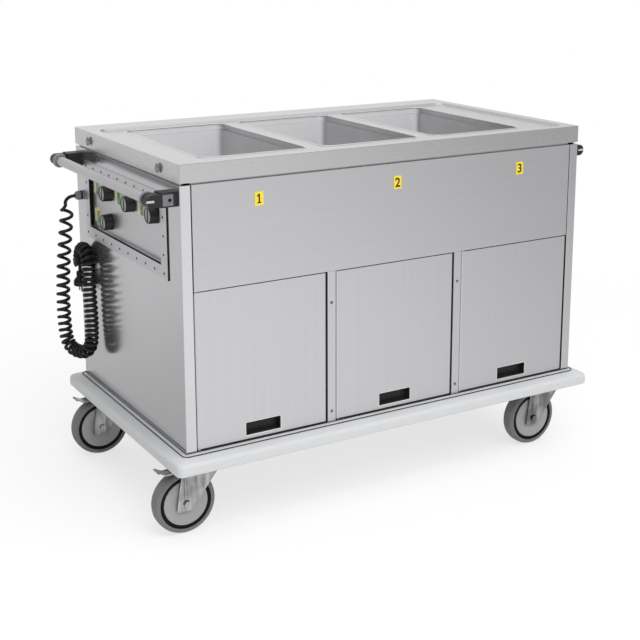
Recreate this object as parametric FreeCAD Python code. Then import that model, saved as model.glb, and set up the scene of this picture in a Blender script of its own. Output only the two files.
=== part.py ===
"""Three-well hot-food serving trolley with heated cupboards, on four braked swivel castors.

Frame: +X to the right along the front, +Y to the back, +Z up.  The origin is on the floor,
at the middle of the footprint.  Millimetres.
"""
import FreeCAD
import Part
import math
import os

V = FreeCAD.Vector

# ------------------------------------------------------------------ general clearances
SEAT_GAP = 0.3          # gap between pieces that are dropped or slid in
RUN_CLEAR = 0.05        # radial clearance of a shaft in its hole

# ------------------------------------------------------------------ worktop
TOP_LEN = 1240.0        # worktop, left to right
TOP_DEP = 716.0         # worktop, front to back
TOP_Z = 960.0           # upper face above the floor
SKIRT_H = 46.5          # folded skirt
TOP_T = 2.0             # worktop sheet
TOP_CORNER_R = 4.0      # vertical corners of the skirt
TOP_EDGE_R = 1.6        # bend along the upper edges
RIM_SIDE = 33.0         # flat rim at the two ends
RIM_FRONT = 24.0        # flat rim at the front
RIM_REAR = 88.0         # flat rim at the back
RECESS_DEEP = 6.0       # pressed field around the wells
RECESS_R = 28.0         # its plan corners
RECESS_SLOPE = 5.0      # run-out of its wall

# ------------------------------------------------------------------ wells
WELL_COUNT = 3
WELL_W = 305.0          # opening, left to right
WELL_D = 516.0          # opening, front to back
WELL_R = 30.0           # plan corners of the opening
WELL_PITCH = 347.5
WELL_MID_X = -22.0      # middle of the row of wells
WELL_MID_Y = -16.0
WELL_T = 1.5
WELL_FLANGE = 12.0      # flange welded under the worktop
STEP_DEEP = 16.0        # ledge below the opening
STEP_WIDE = 8.0
WELL_DEEP = 200.0       # below the pressed field
WELL_FLOOR_R = 18.0
DRAIN_R = 21.0
DRAIN_OFF_Y = 150.0     # drain behind the middle of the well
STRAINER_RIM = 9.0
STRAINER_T = 1.2
STRAINER_HOLE_R = 3.2
DRAIN_TAIL = 52.0
DRAIN_WALL = 2.0
HEATER_W = 210.0
HEATER_D = 250.0
HEATER_T = 7.0
HEATER_R = 12.0
HEATER_OFF_Y = -60.0
TERMINAL_BOX = 46.0
TERMINAL_H = 18.0

# ------------------------------------------------------------------ cabinet
BODY_INSET = 1.0        # cabinet faces behind the worktop's
BODY_Z0 = 233.0         # lower edge of the panels
SHADOW_GAP = 5.5        # open joint under the skirt
PANEL_T = 1.5
NECK_IN = 10.0          # neck that carries the worktop
POST_W = 28.0           # front posts, bent from the end panels
JAMB_DEEP = 27.0        # folded back beside each doorway
PANEL_EDGE_R = 2.5
FASCIA_GAP = 3.0        # open joint beside the fascia
FASCIA_DROP = 316.0     # its lower edge below the worktop, over the doors
HINGE_PLATE_T = 3.0     # lower flange of the fascia
REAR_RETURN = 15.0
MULLION_W = 24.0
MULLION_SCREW_LOW = 29.0    # screws above the base and below the fascia
MULLION_SCREW_HIGH = 84.0
SCREW_R = 2.0
SCREW_HEAD_R = 4.2
SCREW_HEAD_H = 2.0
LINER_T = 1.2
LINER_REAR_GAP = 22.0   # behind the cupboards
LINER_TOP_GAP = 2.5
RUNNER_COUNT = 4
RUNNER_FIRST = 92.0     # lowest runner above the cupboard's floor
RUNNER_HEAD = 82.5      # room over the highest
RUNNER_W = 12.0
RUNNER_T = 2.5
RUNNER_MARGIN = 22.0
NUMBER_W = 24.0
NUMBER_H = 35.0
NUMBER_T = 0.8
NUMBER_DROP = 103.0     # middle of the plates below the worktop
NUMBER_PITCH = 408.0

# ------------------------------------------------------------------ base and bumper
BASE_INSET = 1.5        # base behind the cabinet faces
BASE_Z0 = 190.0
BASE_T = 2.0
CHANNEL_W = 128.0       # end channels that carry the castors
CHANNEL_T = 3.0
BASE_R = 3.0            # plan corners of the base
BUMPER_W = 42.0
BUMPER_H = 39.0
BUMPER_CORNER = 17.0    # outer plan corners
BUMPER_WALL = 6.0
BUMPER_FALL = 7.0       # of the sloping top, out to the nose
BUMPER_NOSE = 12.0      # rounded upper nose
BUMPER_LIP = 4.0        # rounded lower edge

# ------------------------------------------------------------------ doors
DOOR_T = 24.0
DOOR_GAP_HINGE = 2.0
DOOR_GAP_LATCH = 6.5
DOOR_GAP_LOW = 4.7
DOOR_GAP_TOP = 2.3
DOOR_SKIN = 1.2
DOOR_EDGE_R = 4.0
SEAL_W = 5.2            # black strip on the latch side of each doorway
SEAL_IN = 5.0           # behind the face
SEAL_DEEP = 19.0
PIN_IN = 7.0            # hinge axis from the hinge edge and from the face
PIN_R = 4.0
PIN_REACH = 12.0        # into the door
PIN_FOOT = 6.0          # into the base
WASHER_T = 1.6
COLLAR_R = 6.8
PIVOT_BLOCK = 20.0
PIVOT_BLOCK_H = 15.0
GRIP_W = 100.0
GRIP_H = 34.0
GRIP_LOW = 10.0         # lower edge of the grip above the door's lower edge
GRIP_DEEP = 18.0
GRIP_T = 1.5
GRIP_FLANGE = 5.0
CATCH_W = 14.0
CATCH_D = 9.0
CATCH_H = 3.2
CATCH_OFF = 5.0

# ------------------------------------------------------------------ control end (left)
PLATE_T = 2.5
PLATE_FRONT_IN = 78.0   # plate's edges from the worktop's ends
PLATE_REAR_IN = 71.0
PLATE_DROP = 84.0       # its upper edge below the worktop
PLATE_H = 217.0
PLATE_R = 4.0
FRAME_FRONT = 39.0      # plate around its window
FRAME_REAR = 31.0
FRAME_LOW = 33.0
FRAME_HIGH = 34.0
WINDOW_R = 5.0
BOX_DEEP = 11.0         # recess behind the plate's face
BOX_T = 1.2
BOX_FLANGE = 9.0
RIVET_ROWS = 5
RIVET_COLS = 10
RIVET_FRONT = 23.0      # rivet lines inside the plate's edges
RIVET_REAR = 13.0
RIVET_IN = 14.0
RIVET_R = 1.7
RIVET_HEAD_R = 3.4
RIVET_HEAD_H = 1.6
KNOB_R = 22.5
KNOB_LEN = 25.0
KNOB_OFF = 0.6          # running gap to the back wall
KNOB_REAR_IN = 135.0    # first knob inside the window's rear edge
KNOB_FRONT_IN = 46.0    # third knob inside its front edge
KNOB_TOP_IN = 33.0
KNOB_COUNT = 3          # in the upper row
KNOB_DROP = 79.0        # fourth knob below the first
KNOB_SKIRT = 1.2        # draft of its side
KNOB_FACE_IN = 3.0
KNOB_RIM = 3.0
KNOB_BAR = 9.0
SHAFT_R = 3.0
SHAFT_IN = 18.0
STAT_SIZE = 36.0
STAT_DEEP = 32.0
TAG_W = 44.0
TAG_H = 40.0
TAG_T = 0.8
TAG_NEXT = 13.5         # between a tag and the next knob

# ------------------------------------------------------------------ handles
HANDLE_DROP = 84.5      # bar axis below the worktop
HANDLE_OUT = 63.5       # bar axis from the end panel
BAR_R = 13.0
BAR_WALL = 2.0
FOOT_IN = 11.0          # bracket's corner-side face from the worktop's end, left bar
FOOT_IN_RIGHT = 63.0    # and for the shorter right bar
FOOT_W = 43.0           # along the bar
FOOT_L = 42.0           # out from the end panel
FOOT_H = 37.0
FOOT_R = 5.0
ARM_T = 34.0            # along the bar
ARM_R = 15.5            # half its height, and its rounded end
ARM_EDGE_R = 3.0
SOCKET_DEEP = 22.0
COLLAR_T = 8.0
COLLAR_GROW = 6.5       # collar radius beyond the bar
CAP_X = 12.0            # screw cover, from the end panel
CAP_LEN = 27.0
CAP_H = 28.0
CAP_T = 1.2
SLOT_L = 15.0
SLOT_R = 3.2
SLOT_DEEP = 2.0
SLOT_OUT = 6.0          # beyond the bar's axis

STUD_IN = 118.0         # from the skirt's ends
STUD_DROP = 25.0
STUD_R = 12.5
STUD_NECK_R = 7.0
STUD_NECK = 4.0
STUD_HEAD = 5.0

# ------------------------------------------------------------------ castors
CASTOR_IN_X = 56.0      # swivel axes inside the worktop's edges
CASTOR_IN_Y = 61.0
WHEEL_R = 83.0
WHEEL_W = 40.0
TYRE_THICK = 18.0
TYRE_SHOULDER = 8.0
RIM_EDGE = 2.0          # tyre's bead and the rim's edges
WEB_W = 12.0
HUB_R = 19.0
HUB_W = 42.0
TRAIL = 42.0
AXLE_R = 6.0
AXLE_HEAD_R = 10.0
AXLE_HEAD_H = 6.0
LEG_T = 3.5
LEG_GAP = 1.5           # wheel hub to fork leg
LEG_BOSS_R = 17.0
LEG_RIB = 1.6           # pressed rib on each leg
LEG_RIB_IN = 7.0
LEG_TOE = 28.0          # leg's foot, behind and below the axle
LEG_SOLE = 19.0
CROWN_FRONT = 50.0
CROWN_R = 39.0
CROWN_Z0 = 169.0
CROWN_T = 3.5
RACE_T = 5.0
MOUNT_X = 110.0
MOUNT_Y = 90.0
MOUNT_T = 3.0
MOUNT_HOLE_R = 4.5
MOUNT_HOLE_X = 80.0
MOUNT_HOLE_Y = 60.0
KINGPIN_R = 7.0
NUT_R = 11.0
NUT_H = 4.0
BOLT_R = 4.2            # bolts that hold the mounts to the base
BOLT_HEAD_R = 7.5
BOLT_HEAD_H = 5.3
BOLT_NUT_H = 6.5
PEDAL_W = 34.0
PEDAL_T = 3.0
PEDAL_LEN = 66.0
PEDAL_PIN_R = 3.0
PEDAL_PIN_BACK = 48.0   # pedal pivot behind the swivel axis
PEDAL_PIN_Z = 174.5
PEDAL_DIP = 5.0         # tread plate below the pivot, then kicked up at its end
PEDAL_KICK = 3.5
SHOE_BACK = 19.0        # brake shoe behind the pedal's pivot
SHOE_LEN = 9.0
SHOE_Z0 = 167.1
EAR_W = 12.0            # fork ears that hold the pedal's pin

# ------------------------------------------------------------------ supply lead
GLAND_IN = 45.0         # from the rear edge of the end panel
GLAND_DROP = 188.0
GLAND_R = 13.0
GLAND_LEN = 24.0
GLAND_BASE_R = 15.0
GLAND_BASE_T = 4.0
LEAD_D = 9.5
COIL_D = 42.0
HOOK_IN = 100.0
HOOK_DROP = 178.0       # below the gland
HOOK_R = 9.0
HOOK_LEN = 54.0
HOOK_BASE_R = 20.0
HOOK_BASE_T = 5.0
HOOK_HEAD_R = 13.0
HOOK_HEAD_T = 5.0
PLUG_R = 19.0
PLUG_NECK_R = 11.0
PLUG_LEN = 42.0
PLUG_PIN_R = 2.4
PLUG_PIN_LEN = 17.0
PLUG_PIN_SPREAD = 9.5

# routes of the lead, as (out from the end panel, ahead of the gland, below it): from the gland to
# the coil, and the middle line of the coil
LEAD_FREE = [(24, 0, 0), (38, 0, 0), (52, 0, 10), (56, 0, 26), (48.5, 0, 40.5)]
COIL_HUNG = [(49, 0, 40), (60, -1, 132), (71, 3, 227), (76, 7, 337), (71, 14, 439), (31, 98, 439),
             (25, 97, 340), (27, 90, 242), (26, 94, 144), (24, 16, 142), (24.5, 14, 216)]
HANG_SPAN = 539.0       # gland above the base, for which the routes are drawn

# ------------------------------------------------------------------ derived places
FACE_X = TOP_LEN / 2 - BODY_INSET
FACE_Y = TOP_DEP / 2 - BODY_INSET
BODY_Z1 = TOP_Z - SKIRT_H - SHADOW_GAP
FASCIA_Z0 = TOP_Z - FASCIA_DROP
NUMBER_Z = TOP_Z - NUMBER_DROP
FIELD_Z = TOP_Z - RECESS_DEEP
SEAT_Z = FIELD_Z - TOP_T
POST_IN = FACE_X - POST_W
DOORWAY = (2 * POST_IN - (WELL_COUNT - 1) * MULLION_W) / WELL_COUNT
DOOR_W = DOORWAY - DOOR_GAP_HINGE - DOOR_GAP_LATCH
DOOR_Z0 = BODY_Z0 + DOOR_GAP_LOW
DOOR_Z1 = FASCIA_Z0 - DOOR_GAP_TOP
PIN_Y = -FACE_Y + PIN_IN
BASE_X = FACE_X - BASE_INSET
BASE_Y = FACE_Y - BASE_INSET
PLATE_X = -FACE_X - PLATE_T
PLATE_Y0 = PLATE_FRONT_IN - TOP_DEP / 2
PLATE_Y1 = TOP_DEP / 2 - PLATE_REAR_IN
PLATE_Z1 = TOP_Z - PLATE_DROP
PLATE_Z0 = PLATE_Z1 - PLATE_H
WINDOW_Y0, WINDOW_Y1 = PLATE_Y0 + FRAME_FRONT, PLATE_Y1 - FRAME_REAR
WINDOW_Z0, WINDOW_Z1 = PLATE_Z0 + FRAME_LOW, PLATE_Z1 - FRAME_HIGH
WALL_X = PLATE_X + BOX_DEEP
KNOB_Y, KNOB_Z = WINDOW_Y1 - KNOB_REAR_IN, WINDOW_Z1 - KNOB_TOP_IN
KNOB_PITCH = (KNOB_Y - WINDOW_Y0 - KNOB_FRONT_IN) / (KNOB_COUNT - 1)
TAG_OFF = KNOB_PITCH - KNOB_R - TAG_NEXT - TAG_W / 2
HANDLE_Z = TOP_Z - HANDLE_DROP
FOOT_FAR, FOOT_FAR_RIGHT = TOP_DEP / 2 - FOOT_IN, TOP_DEP / 2 - FOOT_IN_RIGHT
STUD_Y, STUD_Z = TOP_DEP / 2 - STUD_IN, TOP_Z - STUD_DROP
CASTOR_X, CASTOR_Y = TOP_LEN / 2 - CASTOR_IN_X, TOP_DEP / 2 - CASTOR_IN_Y
AXLE_Z = WHEEL_R
RACE_Z1 = BASE_Z0 - MOUNT_T
BUMPER_Z0 = BASE_Z0
GLAND_Y, GLAND_Z = FACE_Y - GLAND_IN, TOP_Z - GLAND_DROP
HANG = (GLAND_Z - BODY_Z0) / HANG_SPAN
HOOK_Y, HOOK_Z = FACE_Y - HOOK_IN, GLAND_Z - HOOK_DROP * HANG
LEAD_ROUTE = [(-FACE_X - a, GLAND_Y - b, GLAND_Z - c) for a, b, c in LEAD_FREE]
COIL_ROUTE = [(-FACE_X - a, GLAND_Y - b, GLAND_Z - c * HANG) for a, b, c in COIL_HUNG]

NODES = []


# ------------------------------------------------------------------ helpers
def save(name, *solids):
    shape = solids[0] if len(solids) == 1 else Part.makeCompound(list(solids))
    shape.exportStep("parts/%s.step" % name)
    NODES.append((name, shape))


def box(x0, x1, y0, y1, z0, z1):
    return Part.makeBox(x1 - x0, y1 - y0, z1 - z0, V(x0, y0, z0))


def rod(r, start, direction, length):
    return Part.makeCylinder(r, length, V(*start), V(*direction))


def join(*parts):
    out = parts[0].fuse(list(parts[1:]))
    return out.removeSplitter()


def mirror_x(shape):
    return shape.mirror(V(0, 0, 0), V(1, 0, 0))


def mirror_y(shape):
    return shape.mirror(V(0, 0, 0), V(0, 1, 0))


def rounded_wire(x0, x1, y0, y1, r, z):
    """Rectangle with rounded corners, in a level plane."""
    k = r * math.sqrt(0.5)
    edges = []

    def arc(cx, cy, ax, ay, mx, my, bx, by):
        start, mid, end = V(cx + ax, cy + ay, z), V(cx + mx, cy + my, z), V(cx + bx, cy + by, z)
        edges.append(Part.Arc(start, mid, end).toShape())

    edges.append(Part.LineSegment(V(x0 + r, y0, z), V(x1 - r, y0, z)).toShape())
    arc(x1 - r, y0 + r, 0, -r, k, -k, r, 0)
    edges.append(Part.LineSegment(V(x1, y0 + r, z), V(x1, y1 - r, z)).toShape())
    arc(x1 - r, y1 - r, r, 0, k, k, 0, r)
    edges.append(Part.LineSegment(V(x1 - r, y1, z), V(x0 + r, y1, z)).toShape())
    arc(x0 + r, y1 - r, 0, r, -k, k, -r, 0)
    edges.append(Part.LineSegment(V(x0, y1 - r, z), V(x0, y0 + r, z)).toShape())
    arc(x0 + r, y0 + r, -r, 0, -k, -k, 0, -r)
    return Part.Wire(edges)


def slab(x0, x1, y0, y1, r, z0, z1):
    """Block with rounded vertical corners."""
    return Part.Face(rounded_wire(x0, x1, y0, y1, r, z0)).extrude(V(0, 0, z1 - z0))


def end_slab(y0, y1, z0, z1, r, x0, x1):
    """Block with corners rounded along X: drawn flat, then stood against an end panel."""
    stood = slab(y0, y1, z0, z1, r, 0, x1 - x0)
    stood.transformShape(FreeCAD.Matrix(0, 0, 1, x0, 1, 0, 0, 0, 0, 1, 0, 0, 0, 0, 0, 1))
    return stood


def pick_edges(shape, test):
    return [e for e in shape.Edges if test(e)]


def level_edge(z):
    return lambda e: abs(e.BoundBox.ZMin - z) < 1e-4 and abs(e.BoundBox.ZMax - z) < 1e-4


def upright_edge(x, y):
    def test(e):
        b = e.BoundBox
        flat = b.XLength < 1e-4 and b.YLength < 1e-4 and b.ZLength > 1
        return flat and abs(b.XMin - x) < 1e-3 and abs(b.YMin - y) < 1e-3
    return test


def revolved(profile, place, axis):
    """Closed (radius, height) profile turned about an axis through a place."""
    pts = [V(r, 0, h) for r, h in profile]
    face = Part.Face(Part.makePolygon(pts + [pts[0]]))
    body = face.revolve(V(0, 0, 0), V(0, 0, 1), 360)
    body.Placement = FreeCAD.Placement(V(*place), FreeCAD.Rotation(V(0, 0, 1), V(*axis)))
    return body


def polygon_y(points, y0, y1):
    """(x, z) outline drawn at y0 and pushed to y1."""
    pts = [V(x, y0, z) for x, z in points]
    return Part.Face(Part.makePolygon(pts + [pts[0]])).extrude(V(0, y1 - y0, 0))


def doorway_x(i):
    x0 = -POST_IN + i * (DOORWAY + MULLION_W)
    return x0, x0 + DOORWAY


def well_x(i):
    mid = WELL_MID_X + (i - (WELL_COUNT - 1) / 2) * WELL_PITCH
    return mid - WELL_W / 2, mid + WELL_W / 2


# ------------------------------------------------------------------ worktop
def build_worktop():
    hx, hy, z0 = TOP_LEN / 2, TOP_DEP / 2, TOP_Z - SKIRT_H
    top = slab(-hx, hx, -hy, hy, TOP_CORNER_R, z0, TOP_Z)
    top = top.makeFillet(TOP_EDGE_R, pick_edges(top, level_edge(TOP_Z)))
    t = TOP_T
    top = top.cut(slab(t - hx, hx - t, t - hy, hy - t, TOP_CORNER_R - t, z0 - 1, SEAT_Z))
    x0, x1 = RIM_SIDE - hx, hx - RIM_SIDE
    y0, y1 = RIM_FRONT - hy, hy - RIM_REAR
    s = RECESS_SLOPE
    low = rounded_wire(x0 + s, x1 - s, y0 + s, y1 - s, RECESS_R - s, FIELD_Z)
    high = rounded_wire(x0, x1, y0, y1, RECESS_R, TOP_Z)
    top = top.cut(Part.makeLoft([low, high], True, True))
    for i in range(WELL_COUNT):
        a, b = well_x(i)
        y0, y1 = WELL_MID_Y - WELL_D / 2, WELL_MID_Y + WELL_D / 2
        top = top.cut(slab(a, b, y0, y1, WELL_R, SEAT_Z - 1, FIELD_Z + 1))
    save("top_slab", top)


def build_wells():
    heaters, fittings = [], []
    y0, y1 = WELL_MID_Y - WELL_D / 2, WELL_MID_Y + WELL_D / 2
    t, f, s = WELL_T, WELL_FLANGE, STEP_WIDE
    ledge, floor = FIELD_Z - STEP_DEEP, FIELD_Z - WELL_DEEP
    for i in range(WELL_COUNT):
        a, b = well_x(i)
        low_out = slab(a + s - t, b - s + t, y0 + s - t, y1 - s + t, WELL_R, floor - t, ledge)
        low_out = low_out.makeFillet(WELL_FLOOR_R + t, pick_edges(low_out, level_edge(floor - t)))
        low_in = slab(a + s, b - s, y0 + s, y1 - s, WELL_R - t, floor, ledge + 1)
        low_in = low_in.makeFillet(WELL_FLOOR_R, pick_edges(low_in, level_edge(floor)))
        outer = slab(a - f, b + f, y0 - f, y1 + f, WELL_R + f, SEAT_Z - t, SEAT_Z)
        outer = outer.fuse([slab(a - t, b + t, y0 - t, y1 + t, WELL_R + t, ledge - t, SEAT_Z - t), low_out])
        well = outer.cut([slab(a, b, y0, y1, WELL_R, ledge, SEAT_Z + 1), low_in])
        cx, cy = (a + b) / 2, WELL_MID_Y + DRAIN_OFF_Y
        well = well.cut(rod(DRAIN_R + SEAT_GAP, (cx, cy, floor - 9), (0, 0, 1), 12)).removeSplitter()
        save("well_%d" % (i + 1), well)
        fittings.append(drain_fitting(cx, cy, floor))
        heaters.append(heater((a + b) / 2, WELL_MID_Y + HEATER_OFF_Y, floor - t))
    save("drain_fittings", *fittings)
    save("well_heaters", *heaters)


def drain_fitting(cx, cy, floor):
    """Waste with a pierced strainer, flange on the well's floor, lock nut under it."""
    r, w = DRAIN_R, DRAIN_WALL
    rim = r + STRAINER_RIM
    low = floor - DRAIN_TAIL
    nut = floor - WELL_T
    profile = [(0, floor), (0, floor + STRAINER_T), (rim, floor + STRAINER_T), (rim, floor), (r, floor),
               (r, nut), (rim - 3, nut), (rim - 3, nut - 7), (r, nut - 7), (r, low), (r - w, low),
               (r - w, floor)]
    body = revolved([(p, q - floor) for p, q in profile], (cx, cy, floor), (0, 0, 1))
    for k in range(6):
        a = k * math.pi / 3
        spot = (cx + 0.55 * r * math.cos(a), cy + 0.55 * r * math.sin(a), floor - 1)
        body = body.cut(rod(STRAINER_HOLE_R, spot, (0, 0, 1), STRAINER_T + 2))
    return body


def heater(cx, cy, top):
    hx, hy, h = HEATER_W / 2, HEATER_D / 2, TERMINAL_BOX / 2
    plate = slab(cx - hx, cx + hx, cy - hy, cy + hy, HEATER_R, top - HEATER_T, top)
    return join(plate, box(cx - h, cx + h, cy - h, cy + h, top - HEATER_T - TERMINAL_H, top - HEATER_T))


# ------------------------------------------------------------------ cabinet
def neck_pair(x0, x1, y_face, sign):
    """Shelf and neck along a long side: sign is +1 for the front, -1 for the back."""
    t = PANEL_T
    inner = y_face + sign * NECK_IN
    shelf = box(x0, x1, min(y_face, inner), max(y_face, inner), BODY_Z1 - t, BODY_Z1)
    wall = box(x0, x1, min(inner, inner - sign * t), max(inner, inner - sign * t), BODY_Z1 - t, SEAT_Z)
    return shelf, wall


def build_end_panel():
    t, fx, fy = PANEL_T, FACE_X, FACE_Y
    plate = box(-fx, t - fx, -fy, fy, BODY_Z0, BODY_Z1)
    post = box(-fx, -POST_IN, -fy, t - fy, BODY_Z0, BODY_Z1)
    jamb = box(-POST_IN - t, -POST_IN, -fy, JAMB_DEEP - fy, BODY_Z0, BODY_Z1)
    rear = box(-fx, -POST_IN, fy - t, fy, BODY_Z0, BODY_Z1)
    shelf = box(-fx, NECK_IN - fx, -fy, fy, BODY_Z1 - t, BODY_Z1)
    neck = box(NECK_IN - t - fx, NECK_IN - fx, NECK_IN - fy, fy - NECK_IN, BODY_Z1 - t, SEAT_Z)
    sill = box(-fx, POST_W / 2 - fx, -fy, fy, BODY_Z0, BODY_Z0 + t)
    panel = join(plate, post, jamb, rear, shelf, neck, sill)
    corners = pick_edges(panel, upright_edge(-fx, -fy)) + pick_edges(panel, upright_edge(-fx, fy))
    panel = panel.makeFillet(PANEL_EDGE_R, corners)
    save("side_panel_right", mirror_x(panel))
    g = SEAT_GAP
    y0, y1, z0, z1 = WINDOW_Y0 - g, WINDOW_Y1 + g, WINDOW_Z0 - g, WINDOW_Z1 + g
    window = end_slab(y0, y1, z0, z1, WINDOW_R + g, -fx - 1, t - fx + 1)
    panel = panel.cut([window, rod(GLAND_R * 0.6 + g, (-fx - 1, GLAND_Y, GLAND_Z), (1, 0, 0), t + 2)])
    save("side_panel_left", panel)


def build_long_sides():
    t, fy = PANEL_T, FACE_Y
    hx = POST_IN - FASCIA_GAP
    front = box(-hx, hx, -fy, t - fy, FASCIA_Z0, BODY_Z1)
    flange = box(-hx, hx, -fy, JAMB_DEEP - fy, FASCIA_Z0, FASCIA_Z0 + HINGE_PLATE_T)
    left = box(-hx, t - hx, -fy, REAR_RETURN - fy, FASCIA_Z0, BODY_Z1)
    right = box(hx - t, hx, -fy, REAR_RETURN - fy, FASCIA_Z0, BODY_Z1)
    fascia = join(front, flange, left, right, *neck_pair(-hx, hx, -fy, 1))
    for i in range(WELL_COUNT):
        px = doorway_x(i)[0] + DOOR_GAP_HINGE + PIN_IN
        fascia = fascia.cut(rod(PIN_R + RUN_CLEAR, (px, PIN_Y, FASCIA_Z0 - 1), (0, 0, 1), HINGE_PLATE_T + 2))
    save("fascia_front", fascia)
    back = box(-hx, hx, fy - t, fy, BODY_Z0, BODY_Z1)
    sill = box(-hx, hx, fy - REAR_RETURN, fy, BODY_Z0, BODY_Z0 + t)
    y0 = fy - REAR_RETURN
    ends = [box(x, x + t, y0, fy, BODY_Z0, BODY_Z1) for x in (-hx, hx - t)]
    save("rear_panel", join(back, sill, *ends, *neck_pair(-hx, hx, fy, -1)))


def build_mullions():
    t, fy = PANEL_T, FACE_Y
    mullions, screws = [], []
    for i in range(WELL_COUNT - 1):
        x0 = doorway_x(i)[1]
        x1 = x0 + MULLION_W
        z1 = FASCIA_Z0 - SEAT_GAP
        y1 = JAMB_DEEP - fy
        piece = join(box(x0, x1, -fy, t - fy, BODY_Z0, z1), box(x0, x0 + t, -fy, y1, BODY_Z0, z1),
                     box(x1 - t, x1, -fy, y1, BODY_Z0, z1))
        for z in (BODY_Z0 + MULLION_SCREW_LOW, FASCIA_Z0 - MULLION_SCREW_HIGH):
            piece = piece.cut(rod(SCREW_R + RUN_CLEAR, (x0 + MULLION_W / 2, -fy - 1, z), (0, 1, 0), t + 2))
            r, h = SCREW_HEAD_R, SCREW_HEAD_H
            profile = [(0, -t), (0, h), (0.55 * r, h), (r, 0.4 * h), (r, 0), (SCREW_R, 0), (SCREW_R, -t)]
            screws.append(revolved(profile, (x0 + MULLION_W / 2, -fy, z), (0, -1, 0)))
        mullions.append(piece)
    save("mullions", *mullions)
    save("mullion_screws", *screws)


def build_liners():
    t = LINER_T
    y0 = JAMB_DEEP + SEAT_GAP - FACE_Y
    z0, z1, back = BODY_Z0, FASCIA_Z0 - LINER_TOP_GAP, FACE_Y - LINER_REAR_GAP
    pitch = (z1 - z0 - RUNNER_FIRST - RUNNER_HEAD) / (RUNNER_COUNT - 1)
    for i in range(WELL_COUNT):
        x0, x1 = doorway_x(i)
        shell = box(x0, x1, y0, back, z0, z1).cut(box(x0 + t, x1 - t, y0 - 1, back - t, z0 + t, z1 - t))
        ribs = []
        for k in range(RUNNER_COUNT):
            z = z0 + RUNNER_FIRST + k * pitch
            ya, yb = y0 + RUNNER_MARGIN, back - RUNNER_MARGIN
            for xa, xb in ((x0 + t / 2, x0 + t + RUNNER_W), (x1 - t - RUNNER_W, x1 - t / 2)):
                ribs.append(box(xa, xb, ya, yb, z, z + RUNNER_T))
        save("liner_%d" % (i + 1), join(shell, *ribs))


def build_numbers():
    plates = []
    h, k = NUMBER_W / 2, NUMBER_H / 2
    for i in range(WELL_COUNT):
        mid = (i - (WELL_COUNT - 1) / 2) * NUMBER_PITCH
        plates.append(box(mid - h, mid + h, -FACE_Y - NUMBER_T, -FACE_Y, NUMBER_Z - k, NUMBER_Z + k))
    save("number_plates", *plates)


# ------------------------------------------------------------------ base and bumper
def build_base():
    t = BASE_T
    shell = slab(-BASE_X, BASE_X, -BASE_Y, BASE_Y, BASE_R, BASE_Z0, BODY_Z0)
    shell = shell.cut(box(t - BASE_X, BASE_X - t, t - BASE_Y, BASE_Y - t, BASE_Z0 - 1, BODY_Z0 - t))
    parts = []
    for s in (-1, 1):
        xa, xb = sorted((s * BASE_X, s * (BASE_X - CHANNEL_W)))
        parts.append(slab(xa, xb, -BASE_Y, BASE_Y, BASE_R, BASE_Z0, BASE_Z0 + CHANNEL_T))
        inner = s * (BASE_X - CHANNEL_W)
        xa, xb = sorted((inner, inner + s * t))
        parts.append(box(xa, xb, -BASE_Y, BASE_Y, BASE_Z0, BODY_Z0))
    base = join(shell, *parts)
    for i in range(WELL_COUNT):
        px = doorway_x(i)[0] + DOOR_GAP_HINGE + PIN_IN
        base = base.cut(rod(PIN_R + RUN_CLEAR, (px, PIN_Y, BODY_Z0 - PIN_FOOT - 1), (0, 0, 1), PIN_FOOT + 2))
    for sx in (-1, 1):
        for sy in (-1, 1):
            for hx in (-MOUNT_HOLE_X / 2, MOUNT_HOLE_X / 2):
                for hy in (-MOUNT_HOLE_Y / 2, MOUNT_HOLE_Y / 2):
                    spot = (sx * CASTOR_X + hx, sy * CASTOR_Y + hy, BASE_Z0 - 1)
                    base = base.cut(rod(MOUNT_HOLE_R, spot, (0, 0, 1), CHANNEL_T + 2))
    save("base_pan", base)


def bumper_side(inset):
    """Half outline as edges from the middle of the top to the middle of the foot, for one side.

    It takes the reach of the base's side and gives (reach, height) points; inset makes the hollow."""
    w, z0, z1 = BUMPER_W - inset, BUMPER_Z0, BUMPER_Z0 + BUMPER_H - inset
    nose, lip = max(BUMPER_NOSE - inset, 1.0), max(BUMPER_LIP - inset, 0.5)
    shoulder = z1 - BUMPER_FALL
    k = math.sqrt(0.5)
    return [(0, z1), (w - nose, shoulder),
            ((w - nose + nose * k, shoulder - nose + nose * k), (w, shoulder - nose)),
            (w, z0 + lip), ((w - lip + lip * k, z0 + lip - lip * k), (w - lip, z0))]


def bumper_prism(reach, length, inset, along_x):
    """Both sides' outlines joined across and pushed along X or Y, so that two prisms cross in mitres."""
    def place(side, p):
        across = side * (reach + p[0])
        return V(-length, across, p[1]) if along_x else V(across, -length, p[1])

    half = bumper_side(inset)
    edges = []
    for side in (1, -1):
        start = place(side, half[0])
        for step in half[1:]:
            if isinstance(step[0], tuple):
                mid, end = place(side, step[0]), place(side, step[1])
                edges.append(Part.Arc(start, mid, end).toShape())
            else:
                end = place(side, step)
                edges.append(Part.LineSegment(start, end).toShape())
            start = end
    foot, top = half[-1][1], half[0]
    edges.append(Part.LineSegment(place(1, top), place(-1, top)).toShape())
    edges.append(Part.LineSegment(place(1, foot), place(-1, foot)).toShape())
    face = Part.Face(Part.Wire(Part.__sortEdges__(edges)))
    return face.extrude(V(2 * length, 0, 0) if along_x else V(0, 2 * length, 0))


def bumper_block(inset):
    hx, hy, far = BASE_X + SEAT_GAP, BASE_Y + SEAT_GAP, BUMPER_W + 1
    w = BUMPER_W - inset
    block = bumper_prism(hy, hx + far, inset, True).common(bumper_prism(hx, hy + far, inset, False))
    low, high = BUMPER_Z0 - 1, BUMPER_Z0 + BUMPER_H + 1
    return block.common(slab(-hx - w, hx + w, -hy - w, hy + w, BUMPER_CORNER - inset, low, high))


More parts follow.
